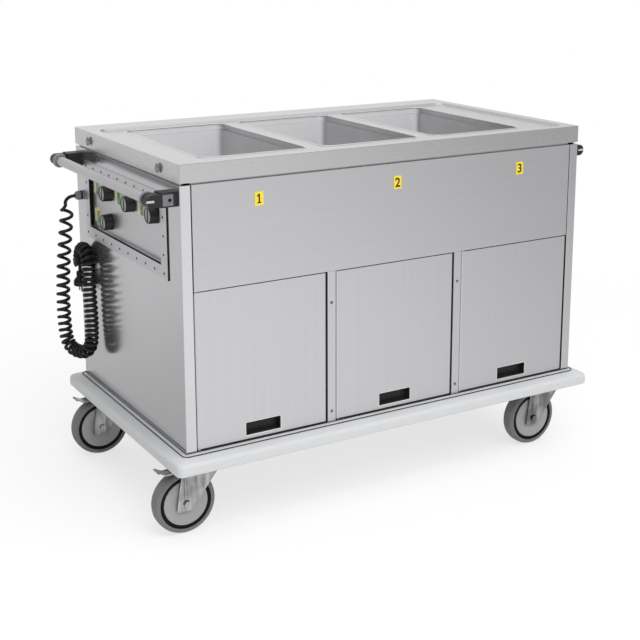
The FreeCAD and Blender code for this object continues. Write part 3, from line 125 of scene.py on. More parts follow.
# ------------------------------------------------------------------ shader writing
class Val:
    """A shader value that adds its own Math nodes when it is worked with."""

    def __init__(self, finish, socket):
        self.finish, self.socket = finish, socket

    def _math(self, kind, first, second=None):
        node = self.finish.node("ShaderNodeMath", operation=kind)
        for k, part in enumerate((first, second)):
            if isinstance(part, Val):
                self.finish.links.new(part.socket, node.inputs[k])
            elif part is not None:
                node.inputs[k].default_value = part
        return Val(self.finish, node.outputs[0])

    def __add__(self, o):
        return self._math("ADD", self, o)

    def __radd__(self, o):
        return self._math("ADD", o, self)

    def __sub__(self, o):
        return self._math("SUBTRACT", self, o)

    def __rsub__(self, o):
        return self._math("SUBTRACT", o, self)

    def __mul__(self, o):
        return self._math("MULTIPLY", self, o)

    def __rmul__(self, o):
        return self._math("MULTIPLY", o, self)

    def __truediv__(self, o):
        return self._math("DIVIDE", self, o)

    def __rtruediv__(self, o):
        return self._math("DIVIDE", o, self)

    def __pow__(self, o):
        return self._math("POWER", self, o)

    def __gt__(self, o):
        return self._math("GREATER_THAN", self, o)

    def __lt__(self, o):
        return self._math("LESS_THAN", self, o)

    def size(self):
        """The value without its sign."""
        return self._math("ABSOLUTE", self)

    def part(self):
        """What is left past the whole number."""
        return self._math("FRACT", self)

    def turn_to(self, across):
        """Angle whose rise is this value and whose run is the other."""
        return self._math("ARCTAN2", self, across)

    def kept(self):
        """Held between 0 and 1."""
        return self._math("MINIMUM", self._math("MAXIMUM", self, 0.0), 1.0)

    def smooth(self, low, high):
        """A soft step from 0 at low to 1 at high."""
        node = self.finish.node("ShaderNodeMapRange", interpolation_type="SMOOTHSTEP")
        self.finish.links.new(self.socket, node.inputs["Value"])
        node.inputs["From Min"].default_value = low
        node.inputs["From Max"].default_value = high
        return Val(self.finish, node.outputs[0])


class Finish:
    """One material, written as expressions on the surface's own place."""

    def __init__(self, name, metallic=0.0, coat=0.0, specular=0.5):
        self.material = bpy.data.materials.new(name)
        self.material.use_nodes = True
        self.tree = self.material.node_tree
        self.links = self.tree.links
        self.tree.nodes.clear()
        self.out = self.node("ShaderNodeOutputMaterial")
        self.shader = self.node("ShaderNodeBsdfPrincipled")
        self.links.new(self.shader.outputs[0], self.out.inputs[0])
        for key, value in (("Metallic", metallic), ("IOR", 1.5), ("Coat Weight", coat),
                           ("Coat Roughness", 0.12), ("Specular IOR Level", specular)):
            self.shader.inputs[key].default_value = value
        self.place = None

    def node(self, kind, sockets=None, **settings):
        """Adds a node: its settings first, then the values or links of its sockets."""
        node = self.tree.nodes.new(kind)
        for key, value in settings.items():
            setattr(node, key, value)
        for key, value in (sockets or {}).items():
            if isinstance(value, Val):
                self.links.new(value.socket, node.inputs[key])
            elif isinstance(value, bpy.types.NodeSocket):
                self.links.new(value, node.inputs[key])
            else:
                node.inputs[key].default_value = value
        return node

    def object_place(self):
        if self.place is None:
            self.place = self.node("ShaderNodeTexCoord")
        return self.place.outputs["Object"]

    def xyz(self, source=None):
        split = self.node("ShaderNodeSeparateXYZ", {0: source or self.object_place()})
        return [Val(self, split.outputs[k]) for k in range(3)]

    def facing(self):
        """How far the surface faces along each of the object's axes, either way."""
        self.object_place()
        return [v.size() for v in self.xyz(self.place.outputs["Normal"])]

    def vector(self, x, y, z):
        return self.node("ShaderNodeCombineXYZ", {0: x, 1: y, 2: z}).outputs[0]

    def noise(self, scale, detail=2.0, stretch=(1, 1, 1), where=None):
        spot = self.node("ShaderNodeMapping", {"Vector": where or self.object_place(), "Scale": stretch})
        made = self.node("ShaderNodeTexNoise", {"Vector": spot.outputs[0], "Scale": scale, "Detail": detail})
        return Val(self, made.outputs["Fac"])

    def blend(self, factor, low, high):
        """A colour between two others."""
        mix = self.node("ShaderNodeMix", data_type="RGBA")
        for key, value in ((0, factor), (6, low), (7, high)):
            if isinstance(value, Val):
                self.links.new(value.socket, mix.inputs[key])
            elif isinstance(value, bpy.types.NodeSocket):
                self.links.new(value, mix.inputs[key])
            elif key == 0:
                mix.inputs[key].default_value = value
            else:
                mix.inputs[key].default_value = (*value, 1.0)
        return mix.outputs[2]

    def surface(self, colour, roughness, height=None, bump=0.1, depth=0.001):
        """Feeds the shader and hands back the finished material."""
        for key, value in (("Base Color", colour), ("Roughness", roughness)):
            if isinstance(value, Val):
                self.links.new(value.socket, self.shader.inputs[key])
            elif isinstance(value, bpy.types.NodeSocket):
                self.links.new(value, self.shader.inputs[key])
            else:
                self.shader.inputs[key].default_value = (*value, 1.0) if key == "Base Color" else value
        if height is not None:
            made = self.node("ShaderNodeBump", {"Height": height, "Strength": bump, "Distance": depth})
            self.links.new(made.outputs[0], self.shader.inputs["Normal"])
        return self.material


def shade(colour, factor):
    """The colour made darker or lighter."""
    return tuple(min(1.0, c * factor) for c in colour)


def brushed(name, colour, upright=False, roughness=0.34, metallic=0.9, front=1.0):
    """Brushed sheet: fine scratches along one direction, faint longer streaks, a few dull smudges.

    front shades the faces that look ahead or back, which the room lights differently.
    """
    f = Finish(name, metallic=metallic)
    x, y, z = f.xyz()
    nx, ny, nz = f.facing()
    level = nz > 0.6
    end = nx > 0.6
    if upright:
        across = x * (1 - end) + y * end
        along = z
    else:
        across = z * (1 - level) + y * level
        along = (x * (1 - end) + y * end) * (1 - level) + x * level
    grain = f.vector(along * 6.0, across * 900.0, 0.0)
    streak = f.vector(along * 1.3, across * 70.0, 3.0)
    fine = f.noise(1.0, 3.0, where=grain)
    wide = f.noise(1.0, 2.0, where=streak)
    cloud = f.noise(3.5, 3.0)
    tone = (fine * 0.25 + wide * 0.45 + cloud * 0.3).smooth(0.3, 0.7)
    tint = f.blend(tone, shade(colour, 0.98), shade(colour, 1.015))
    if front != 1.0:
        tint = f.blend(ny > 0.7, tint, shade(colour, front))
    rough = roughness - 0.05 + fine * 0.05 + wide * 0.03 + cloud * 0.04
    return f.surface(tint, rough, fine, bump=0.025, depth=0.0004)


def pressed_steel(name, colour, roughness=0.26, metallic=0.9, lit=0.0):
    """Deep-drawn sheet: satin and faintly cloudy; where lit is set, the walls facing ahead and back are paler,
    which is painted light, and duller.
    """
    f = Finish(name, metallic=metallic)
    fine = f.noise(420.0, 2.0, stretch=(1, 1, 0.08))
    cloud = f.noise(7.0, 4.0)
    tone = (fine * 0.4 + cloud * 0.6).smooth(0.3, 0.7)
    tint = f.blend(tone, shade(colour, 0.92), shade(colour, 1.04))
    if lit:
        # Painted light: the walls facing ahead and back are made paler by the lit factor.
        across = f.facing()[1].smooth(0.35, 0.8)
        tint = f.blend(across, tint, shade(colour, lit))
        f.links.new((metallic - across * 0.55).socket, f.shader.inputs["Metallic"])
    return f.surface(tint, roughness - 0.03 + cloud * 0.08 + fine * 0.04, fine, bump=0.05, depth=0.0005)


def zinc_plate(name, colour, roughness=0.24):
    """Bright zinc: drawn marks down the sheet, cloudy patches, faint crystals."""
    f = Finish(name, metallic=1.0)
    cell = f.node("ShaderNodeTexVoronoi", {"Vector": f.object_place(), "Scale": 260.0})
    grain = Val(f, cell.outputs["Distance"])
    cloud = f.noise(16.0, 3.0)
    drawn = f.noise(46.0, 3.0, stretch=(1, 1, 0.12))
    tone = (cloud * 0.5 + drawn * 0.6 - 0.05).smooth(0.36, 0.66)
    tint = f.blend(tone, shade(colour, 0.36), shade(colour, 1.05))
    return f.surface(tint, roughness - 0.06 + cloud * 0.16, grain * 0.4 + drawn, bump=0.1, depth=0.0005)


def moulded(name, colour, roughness=0.45, grain=900.0, bump=0.15, wear=0.06, sheen=0.5):
    """Moulded plastic or rubber: fine grain, slightly uneven sheen."""
    f = Finish(name, specular=sheen)
    fine = f.noise(grain, 2.0)
    cloud = f.noise(14.0, 3.0)
    tone = (cloud * 0.6 + fine * 0.4).smooth(0.25, 0.75)
    tint = f.blend(tone, shade(colour, 1 - wear), shade(colour, 1 + wear))
    return f.surface(tint, roughness - 0.05 + cloud * 0.1 + fine * 0.04, fine, bump=bump, depth=0.0004)


def label_face(name, colour):
    """Glossy printed plate, faintly uneven."""
    f = Finish(name, coat=0.35)
    cloud = f.noise(60.0, 3.0)
    tint = f.blend(cloud.smooth(0.3, 0.75), shade(colour, 0.93), shade(colour, 1.03))
    return f.surface(tint, 0.32 + cloud * 0.1, cloud, bump=0.04, depth=0.0003)


def scale_print(name, places, half):
    """Printed tags: cream, a green field towards the knob, yellow along the top and the near end."""
    f = Finish(name, coat=0.3)
    _, y, z = f.xyz()
    fine = f.noise(500.0, 2.0)
    tint = f.blend(fine * 0.12, (0.72, 0.68, 0.46), (0.5, 0.45, 0.3))
    soft = 0.0006
    for cy, cz in places:
        dy, dz = y - cy, z - cz
        near = (1 - dy.size().smooth(half, half + 0.0005)) * (1 - dz.size().smooth(half, half + 0.0005))
        green = near * (1 - (dy - 0.004).smooth(-0.0008, 0.0008)) * (1 - (dz - 0.013).smooth(-soft, soft))
        strip = near * (dz - 0.0145).smooth(-soft, soft)
        edge = near * (1 - (dy + 0.017).smooth(-soft, soft))
        bars = near * (dz.size() < 0.011) * ((y * 260.0 + 40.0).part() < 0.3)
        tint = f.blend(green, tint, (0.05, 0.2, 0.11))
        tint = f.blend(bars * green * 0.6, tint, (0.3, 0.5, 0.36))
        tint = f.blend(strip, tint, (0.85, 0.62, 0.03))
        tint = f.blend(edge, tint, (0.85, 0.5, 0.06))
    return f.surface(tint, 0.35 + fine * 0.1, fine, bump=0.03, depth=0.0002)


def knob_face(name, centre):
    """Printed knob face: dark ring with pale division marks, lighter middle."""
    cy, cz = centre
    f = Finish(name, coat=0.25)
    _, y, z = f.xyz()
    dy, dz = y - cy, z - cz
    reach = (dy * dy + dz * dz) ** 0.5
    ticks = (dz.turn_to(dy) * (KNOB_MARKS / (2 * math.pi)) + 40.0).part() < 0.28
    band = (reach > 0.0115) * (reach < 0.0165)
    fine = f.noise(700.0, 2.0)
    tint = f.blend(fine * 0.3, (0.19, 0.22, 0.2), (0.27, 0.3, 0.28))
    tint = f.blend((reach < 0.0095), tint, (0.36, 0.4, 0.37))
    tint = f.blend(ticks * band, tint, (0.8, 0.82, 0.8))
    return f.surface(tint, 0.3 + fine * 0.12, fine, bump=0.06, depth=0.0003)


# ------------------------------------------------------------------ mesh writing
FINISHES = {}


def finish(name):
    """Finds a finish by name, or makes it."""
    steel, rubber = bpy.context.scene.trolley_steel, bpy.context.scene.trolley_rubber
    if name in FINISHES:
        return FINISHES[name]
    panel, pressed, zinc = tuple(steel.panel), tuple(steel.pressed), tuple(steel.zinc)
    black = tuple(rubber.black)
    makers = {
        "sheet_along": lambda n: brushed(n, panel),
        "sheet_upright": lambda n: brushed(n, panel, upright=True),
        # The end and front sheets are the panel steel a little darker: painted shade; the end sheets' faces
        # looking ahead or back are paler again: painted light.
        "sheet_end": lambda n: brushed(n, shade(panel, 0.97), upright=True, roughness=0.15, front=1.05),
        "sheet_front": lambda n: brushed(n, shade(panel, 0.97)),
        "lip": lambda n: moulded(n, (0.6, 0.6, 0.61), roughness=0.4),
        # The studs are much darker than the worktop steel: painted shade.
        "stud": lambda n: pressed_steel(n, (0.38, 0.38, 0.39), roughness=0.3),
        # Near-black band beside the bumper, standing in for the shadow in the gap there: painted shade.
        "groove": lambda n: moulded(n, (0.07, 0.07, 0.072), roughness=0.5, sheen=0.2),
        # Panel steel made darker for the cupboard liners: painted shade inside the cupboards.
        "sheet_painted_shade": lambda n: brushed(n, shade(panel, 0.8), roughness=0.36),
        # The worktop's faces looking ahead and back, chiefly its skirt, are made darker: painted shade.
        "worktop": lambda n: brushed(n, pressed, roughness=0.26, front=0.86),
        # The wells are the worktop steel made darker, painted shade in the hollows, and paler on the walls
        # facing ahead and back, painted light.
        "well": lambda n: pressed_steel(n, shade(pressed, 0.84), roughness=0.3, metallic=0.8, lit=1.75),
        # Worktop steel made paler: painted highlight on the wells' beads and the grip edges.
        "bead": lambda n: pressed_steel(n, shade(pressed, 1.35), roughness=0.14),
        "zinc": lambda n: zinc_plate(n, zinc),
        "bolt": lambda n: zinc_plate(n, shade(zinc, 0.95), roughness=0.2),
        "rivet": lambda n: pressed_steel(n, shade(panel, 0.12), roughness=0.4, metallic=0.4),
        "bar": lambda n: pressed_steel(n, (0.56, 0.56, 0.57), roughness=0.3),
        "collar": lambda n: moulded(n, (0.22, 0.225, 0.235), roughness=0.4),
        "cap": lambda n: moulded(n, (0.17, 0.17, 0.18), roughness=0.38, sheen=0.4),
        "slot": lambda n: moulded(n, (0.5, 0.5, 0.5), roughness=0.35),
        "black": lambda n: moulded(n, black, roughness=0.36, sheen=0.25),
        # Near-black rubber for the cover screws, and for strips that darken gaps and the control recess: the
        # door seals, the beads at the panels' foot and the recess lines, which are painted shade.
        "seal_and_painted_shade": lambda n: moulded(n, shade(black, 0.4), roughness=0.6, sheen=0.1),
        "knob": lambda n: moulded(n, shade(black, 0.7), roughness=0.3, sheen=0.3),
        "nut": lambda n: moulded(n, (0.19, 0.19, 0.2), roughness=0.42),
        "cable": lambda n: moulded(n, (0.012, 0.012, 0.012), roughness=0.4, grain=600.0, bump=0.2,
                                   sheen=0.35),
        "bumper": lambda n: moulded(n, tuple(rubber.bumper), roughness=0.42, grain=500.0, bump=0.08,
                                    wear=0.02),
        "tyre": lambda n: moulded(n, tuple(rubber.tyre), roughness=0.6, grain=500.0, bump=0.25),
        "disc": lambda n: moulded(n, tuple(rubber.disc), roughness=0.5, grain=700.0, bump=0.1, wear=0.03),
        "guard": lambda n: moulded(n, (0.006, 0.006, 0.006), roughness=0.5, sheen=0.1),
        "label": lambda n: label_face(n, tuple(rubber.label)),
        "digit": lambda n: moulded(n, (0.012, 0.012, 0.012), roughness=0.4, bump=0.02),
        "casing": lambda n: moulded(n, (0.3, 0.3, 0.31), roughness=0.5),
        "pin": lambda n: zinc_plate(n, (0.7, 0.62, 0.35), roughness=0.22),
    }
    FINISHES[name] = makers[name](name)
    return FINISHES[name]


def dress(node, name):
    """Gives a carried-over node its finish."""
    obj = NODES[node]
    obj.data.materials.clear()
    obj.data.materials.append(finish(name))


def as_object(name, mesh, body, finishes, replaces=(), corner=30.0):
    """Puts a mesh in the scene on its body, finishes and the nodes that it replaces."""
    mesh.name = name
    for item in finishes:
        mesh.materials.append(finish(item) if isinstance(item, str) else item)
    mesh.shade_smooth()
    mesh.set_sharp_from_angle(angle=math.radians(corner))
    obj = bpy.data.objects.new(name, mesh)
    bpy.context.scene.collection.objects.link(obj)
    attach(obj, body)
    if replaces:
        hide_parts(*replaces)
    return obj


def mesh_of(bm, name="made"):
    """Turns the working mesh into a mesh, and ends it."""
    mesh = bpy.data.meshes.new(name)
    bm.to_mesh(mesh)
    bm.free()
    return mesh


def settled(obj):
    """The object's mesh with its modifiers worked out, as a plain mesh; the object goes."""
    graph = bpy.context.evaluated_depsgraph_get()
    mesh = bpy.data.meshes.new_from_object(obj.evaluated_get(graph))
    bpy.data.objects.remove(obj)
    mesh.materials.clear()
    return mesh


def eased(node, width, segments=2, angle=32.0):
    """Copy of a node's mesh with its sharp edges eased, as folded and moulded edges are."""
    bm = bmesh.new()
    bm.from_mesh(NODES[node].data)
    bmesh.ops.remove_doubles(bm, verts=bm.verts, dist=2e-5)
    bmesh.ops.dissolve_limit(bm, angle_limit=math.radians(0.6), verts=bm.verts, edges=bm.edges)
    obj = bpy.data.objects.new("easing", mesh_of(bm))
    bpy.context.scene.collection.objects.link(obj)
    bevel = obj.modifiers.new("Ease", "BEVEL")
    bevel.width, bevel.segments, bevel.limit_method = width, segments, "ANGLE"
    bevel.angle_limit = math.radians(angle)
    bevel.use_clamp_overlap = True
    weigh = obj.modifiers.new("Weigh", "WEIGHTED_NORMAL")
    weigh.keep_sharp = True
    bm = bmesh.new()
    bm.from_mesh(settled(obj))
    bmesh.ops.dissolve_degenerate(bm, edges=bm.edges, dist=1e-6)
    return mesh_of(bm)


def ease_node(name, node, body, look, width, segments=2, angle=32.0):
    """Puts an eased copy of a node in its place."""
    mesh = eased(node, width, segments, angle)
    as_object(name, mesh, body, [look], [node], SMOOTH_UP_TO)
    lean_on_flats(mesh)


def lean_on_flats(mesh):
    """Weighs each corner's normal by face area, so the wide flats stay flat beside the eased edges."""
    around = [[] for _ in mesh.vertices]
    for face in mesh.polygons:
        for v in face.vertices:
            around[v].append(face)
    limit, normals = math.cos(math.radians(SMOOTH_UP_TO)), []
    for face in mesh.polygons:
        for v in face.vertices:
            total = Vector()
            for other in around[v]:
                if other.normal.dot(face.normal) > limit:
                    total += other.normal * other.area
            normals.append(total.normalized() if total.length > 1e-12 else face.normal.copy())
    mesh.normals_split_custom_set(normals)


def turned(bm, profile, place, axis, segments=48, slot=0, closed=True):
    """Adds a (radius, height) profile turned about an axis through a place; slot may be one per edge.

    A closed profile off the axis joins its last point to its first.
    """
    place, axis = Vector(place), Vector(axis).normalized()
    side = axis.orthogonal().normalized()
    other = axis.cross(side)
    rings = []
    for r, h in profile:
        if r < 1e-7:
            rings.append([bm.verts.new(place + axis * h)])
            continue
        ring = []
        for k in range(segments):
            a = 2 * math.pi * k / segments
            ring.append(bm.verts.new(place + axis * h + (side * math.cos(a) + other * math.sin(a)) * r))
        rings.append(ring)
    pairs = list(zip(range(len(rings) - 1), range(1, len(rings))))
    if closed and len(rings[0]) > 1 and len(rings[-1]) > 1:
        pairs.append((len(rings) - 1, 0))
    for n, (i, j) in enumerate(pairs):
        a, b = rings[i], rings[j]
        for k in range(segments):
            m = (k + 1) % segments
            if len(a) == 1:
                face = bm.faces.new((a[0], b[k], b[m]))
            elif len(b) == 1:
                face = bm.faces.new((a[k], b[0], a[m]))
            else:
                face = bm.faces.new((a[k], b[k], b[m], a[m]))
            face.material_index = slot[n] if isinstance(slot, (list, tuple)) else slot


def block(bm, first, last):
    """Adds a box between two opposite corners."""
    middle = [(p + q) / 2 for p, q in zip(first, last)]
    across = [q - p for p, q in zip(first, last)]
    bmesh.ops.create_cube(bm, size=1.0, matrix=Matrix.Translation(middle) @ Matrix.Diagonal((*across, 1)))


def outward(bm):
    """Merges doubles and turns every face outwards."""
    bmesh.ops.remove_doubles(bm, verts=bm.verts, dist=1e-7)
    bmesh.ops.recalc_face_normals(bm, faces=bm.faces)
    return bm


def arc(cx, cz, r, a0, a1, n):
    """Points of an arc, angles in degrees."""
    return [(cx + r * math.cos(math.radians(a0 + (a1 - a0) * k / n)),
             cz + r * math.sin(math.radians(a0 + (a1 - a0) * k / n))) for k in range(n + 1)]


def scatter(name, points, directions, make_seed, body, look, replaces=(), corner=30.0):
    """Sets copies of one small mesh on points by a geometry tree, then keeps the plain mesh."""
    cloud = bpy.data.meshes.new(name + "_points")
    cloud.from_pydata([tuple(p) for p in points], [], [])
    attribute = cloud.attributes.new("facing", "FLOAT_VECTOR", "POINT")
    attribute.data.foreach_set("vector", [c for d in directions for c in d])
    holder = bpy.data.objects.new(name + "_holder", cloud)
    bpy.context.scene.collection.objects.link(holder)
    seed = bpy.data.objects.new(name + "_seed", make_seed())
    bpy.context.scene.collection.objects.link(seed)
    tree = bpy.data.node_groups.new(name + "_tree", "GeometryNodeTree")
    tree.interface.new_socket("Geometry", in_out="INPUT", socket_type="NodeSocketGeometry")
    piece = tree.interface.new_socket("Piece", in_out="INPUT", socket_type="NodeSocketObject")
    size = tree.interface.new_socket("Size", in_out="INPUT", socket_type="NodeSocketFloat")
    size.default_value = 1.0
    tree.interface.new_socket("Geometry", in_out="OUTPUT", socket_type="NodeSocketGeometry")
    add = tree.nodes.new
    start, end = add("NodeGroupInput"), add("NodeGroupOutput")
    info = add("GeometryNodeObjectInfo")
    info.transform_space = "ORIGINAL"
    named = add("GeometryNodeInputNamedAttribute")
    named.data_type = "FLOAT_VECTOR"
    named.inputs["Name"].default_value = "facing"
    turn = add("FunctionNodeAlignRotationToVector")
    turn.axis = "Z"
    on = add("GeometryNodeInstanceOnPoints")
    real = add("GeometryNodeRealizeInstances")
    paint = add("GeometryNodeSetMaterial")
    paint.inputs["Material"].default_value = finish(look)
    link = tree.links.new
    link(start.outputs["Geometry"], on.inputs["Points"])
    link(start.outputs["Piece"], info.inputs["Object"])
    link(info.outputs["Geometry"], on.inputs["Instance"])
    link(named.outputs["Attribute"], turn.inputs["Vector"])
    link(turn.outputs[0], on.inputs["Rotation"])
    link(start.outputs["Size"], on.inputs["Scale"])
    link(on.outputs["Instances"], real.inputs["Geometry"])
    link(real.outputs["Geometry"], paint.inputs["Geometry"])
    link(paint.outputs["Geometry"], end.inputs["Geometry"])
    modifier = holder.modifiers.new("Scatter", "NODES")
    modifier.node_group = tree
    modifier[piece.identifier] = seed
    modifier[size.identifier] = 1.0
    mesh = settled(holder)
    bpy.data.objects.remove(seed)
    as_object(name, mesh, body, [look], replaces, corner)


# ------------------------------------------------------------------ cabinet
class TROLLEY_OT_cabinet(bpy.types.Operator):
    """Dress the worktop, wells, panels, cupboards and base"""
    bl_idname = "trolley.cabinet"
    bl_label = "Cabinet"

    def execute(self, context):
        body = "trolley"
        ease_node("worktop_sheet", "top_slab", body, "worktop", 0.0018, 3)
        for name, node, look in (("left_end_sheet", "side_panel_left", "sheet_end"),
                                 ("right_end_sheet", "side_panel_right", "sheet_end"),
                                 ("front_fascia_sheet", "fascia_front", "sheet_front"),
                                 ("rear_sheet", "rear_panel", "sheet_along"),
                                 ("door_posts", "mullions", "sheet_upright"),
                                 ("base_sheet", "base_pan", "sheet_along")):
            ease_node(name, node, body, look, FOLD_EASE)
        for i in BAYS:
            dress("well_%d" % i, "well")
            # The liners take the darkened steel: painted shade.
            dress("liner_%d" % i, "sheet_painted_shade")
        # The door seals darken the latch-side gaps of the doors: painted shade.
        for node, look in (("well_heaters", "casing"), ("drain_fittings", "well"), ("hinge_pins", "bolt"),
                           ("door_seals", "seal_and_painted_shade")):
            dress(node, look)
        self.joint_beads()
        self.beads(context)
        self.screws()
        return {"FINISHED"}

    def beads(self, context):
        """Rolled bead where each well meets the worktop, in steel made paler than the worktop's: painted
        highlight.
        """
        r = context.scene.trolley_steel.rim_bead
        flange, corner, sides = 0.012, 0.03, 10
        turns = [2 * math.pi * k / sides for k in range(sides)]
        bm = bmesh.new()
        for i in BAYS:
            low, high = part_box("well_%d" % i)
            x0, x1, y0, y1 = low.x + flange, high.x - flange, low.y + flange, high.y - flange
            z = high.z + 0.002
            path = []
            for cx, cy, a0 in ((x1 - corner, y0 + corner, -90), (x1 - corner, y1 - corner, 0),
                               (x0 + corner, y1 - corner, 90), (x0 + corner, y0 + corner, 180)):
                for px, py in arc(cx, cy, corner, a0, a0 + 90, 10):
                    d = Vector((px - cx, py - cy, 0)).normalized()
                    path.append((Vector((px, py, z)), d))
            rings = [[bm.verts.new(p + d * (r * math.cos(a)) + Vector((0, 0, r * 0.8 * math.sin(a))))
                      for a in turns] for p, d in path]
            for n, a in enumerate(rings):
                b = rings[(n + 1) % len(rings)]
                for k in range(sides):
                    m = (k + 1) % sides
                    bm.faces.new((a[k], b[k], b[m], a[m]))
        as_object("well_beads", mesh_of(outward(bm)), "trolley", ["bead"], corner=60)

    def joint_beads(self):
        """Bands round the base: dark beads under the panels and beside the bumper, which are painted shade in
        the gaps there, and the pale lip between.
        """
        base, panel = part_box("base_pan")[1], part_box("side_panel_left")[0]
        foot, top = panel.z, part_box("bumper_skirt")[1].z
        # The two dark bands stand in for the shadow in the gaps at the panels' foot and beside the bumper:
        # painted shade.
        bands = (
            ("joint_beads", "black_plastic", "seal_and_painted_shade", (-panel.x, -panel.y, 0.0035),
             [(-0.0002, foot - 0.0011), (0.0007, foot - 0.0011), (0.0007, foot + 0.0004),
              (-0.0002, foot + 0.0004)]),
            ("bumper_bead", "black_plastic", "groove", (base.x, base.y, 0.003),
             [(0.0112, top - 0.001), (0.0138, top - 0.001), (0.0138, top + 0.0006), (0.0130, top + 0.0012),
              (0.0120, top + 0.0012), (0.0112, top + 0.0006)]),
            ("base_lip", "stainless", "lip", (-panel.x, -panel.y, 0.0035),
             [(-0.0002, top - 0.0005), (0.0010, top - 0.0005), (0.0010, foot - 0.0012),
              (-0.0002, foot - 0.0012)]),
        )
        for name, slot, look, (half_x, half_y, corner), section in bands:
            bm = bmesh.new()
            ring_band(bm, half_x, half_y, corner, section)
            as_object(name, mesh_of(outward(bm)), "trolley", [look])

    def screws(self):
        """One screw near each end of both door posts."""
        low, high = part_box("mullion_screws")
        head = 0.0015
        places = [(x, high.y - head, z) for x in (low.x + SCREW_R, high.x - SCREW_R)
                  for z in (low.z + SCREW_R, high.z - SCREW_R)]
        scatter("door_post_screws", places, [(0, -1, 0)] * len(places), cross_head,
                "trolley", "bolt", ["mullion_screws"])


def ring_band(bm, hx, hy, corner, section, outer_corner=None, reach=1.0, turns=8):
    """Adds a closed band round a rectangle: section as (out, height), corners growing with the reach."""
    rings = []
    for out, z in section:
        r = corner + out if outer_corner is None else corner + (outer_corner - corner) * max(0.0, out) / reach
        ax, ay = hx + out - r, hy + out - r
        ring = []
        for cx, cy, a0 in ((ax, -ay, -90), (ax, ay, 0), (-ax, ay, 90), (-ax, -ay, 180)):
            ring += [bm.verts.new((x, y, z)) for x, y in arc(cx, cy, r, a0, a0 + 90, turns)]
        rings.append(ring)
    m = len(rings[0])
    for n, a in enumerate(rings):
        b = rings[(n + 1) % len(rings)]
        for k in range(m):
            bm.faces.new((a[k], a[(k + 1) % m], b[(k + 1) % m], b[k]))


def cross_head():
    """Small oval-head screw with a cross on its top."""
    r, shank, top = SCREW_R, 0.0019, 0.0019
    slot_size = (0.0042, 0.0008, 0.0004, 1)
    bm = bmesh.new()
    turned(bm, [(0, 0.002), (r * 0.55, 0.0019), (r, 0.0007), (r, 0), (shank, 0), (shank, -0.0012),
                (0, -0.0012)], (0, 0, 0), (0, 0, 1), 20)
    for a in (0, math.pi / 2):
        turn = Matrix.Rotation(a + 0.4, 4, "Z")
        bmesh.ops.create_cube(bm, size=1.0,
                              matrix=turn @ Matrix.Translation((0, 0, top)) @ Matrix.Diagonal(slot_size))
    bmesh.ops.recalc_face_normals(bm, faces=bm.faces)
    return mesh_of(bm)


# ------------------------------------------------------------------ doors
class TROLLEY_OT_doors(bpy.types.Operator):
    """Dress the doors, their grips and the numbered labels"""
    bl_idname = "trolley.doors"
    bl_label = "Doors and labels"

    def execute(self, context):
        for i in BAYS:
            body = "door_%d" % i
            ease_node("door_leaf_%d" % i, "door_panel_%d" % i, body, "sheet_upright", 0.0007)
            ease_node("grip_cup_%d" % i, "door_grip_%d" % i, body, "black", 0.0008)
            self.grip_frame(i, body)
        self.labels()
        return {"FINISHED"}

    def grip_frame(self, i, body):
        """Thin folded edge of the door round the grip."""
        low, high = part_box("door_grip_%d" % i)
        flange, opening, fold, sheet = 0.005, 0.034, 0.0016, 0.0007
        x0, x1, z1 = low.x + flange, high.x - flange, high.z - flange
        z0 = z1 - opening
        y = low.y - 0.0002
        bm = bmesh.new()
        for ax, bx, az, bz in ((x0 - fold, x1 + fold, z0 - fold, z0), (x0 - fold, x1 + fold, z1, z1 + fold),
                               (x0 - fold, x0, z0, z1), (x1, x1 + fold, z0, z1)):
            block(bm, (ax, y - sheet / 2, az), (bx, y + sheet / 2, bz))
        # The grip edge takes the paler steel: painted highlight.
        as_object("grip_edge_%d" % i, mesh_of(bm), body, ["bead"])

    def labels(self):
        """Yellow plates over the doors, each with its digit."""
        low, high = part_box("number_plates")
        ease_node("number_labels", "number_plates", "trolley", "label", 0.00025)
        half_plate = 0.012
        pitch = (high.x - low.x - 2 * half_plate) / 2
        bm = bmesh.new()
        for n in range(3):
            mesh = self.written(n + 1) if n else self.digit_one()
            lows = [min(v.co[k] for v in mesh.vertices) for k in (0, 1)]
            highs = [max(v.co[k] for v in mesh.vertices) for k in (0, 1)]
            mid = Vector(((lows[0] + highs[0]) / 2, (lows[1] + highs[1]) / 2, 0))
            spot = Vector((low.x + half_plate + n * pitch, low.y - 0.0001, (low.z + high.z) / 2))
            upright = Matrix.Rotation(math.pi / 2, 4, "X")
            mesh.transform(Matrix.Translation(spot) @ upright @ Matrix.Translation(-mid))
            bm.from_mesh(mesh)
        as_object("number_digits", mesh_of(bm), "trolley", ["digit"])

    def written(self, number):
        """A digit from the built-in font."""
        words = bpy.data.curves.new("digit", "FONT")
        words.body = str(number)
        words.size, words.extrude, words.offset = 0.034, 0.0001, 0.0007
        obj = bpy.data.objects.new("digit", words)
        bpy.context.scene.collection.objects.link(obj)
        return settled(obj)

    def digit_one(self):
        """The digit 1 with a flag and a foot, which the built-in font's lacks."""
        outline = [(0.0024, -0.0088), (0.0060, -0.0088), (0.0060, -0.0118), (-0.0056, -0.0118),
                   (-0.0056, -0.0088), (-0.0018, -0.0088), (-0.0018, 0.0066), (-0.0058, 0.0046),
                   (-0.0058, 0.0082), (-0.0012, 0.0118), (0.0024, 0.0118)]
        bm = bmesh.new()
        under, over = ([bm.verts.new((x, y, z)) for x, y in outline] for z in (-0.0001, 0.0001))
        for k in range(len(outline)):
            m = (k + 1) % len(outline)
            bm.faces.new((under[k], under[m], over[m], over[k]))
        bm.faces.new(under)
        bm.faces.new(over)
        bmesh.ops.triangulate(bm, faces=bm.faces)
        return mesh_of(outward(bm))


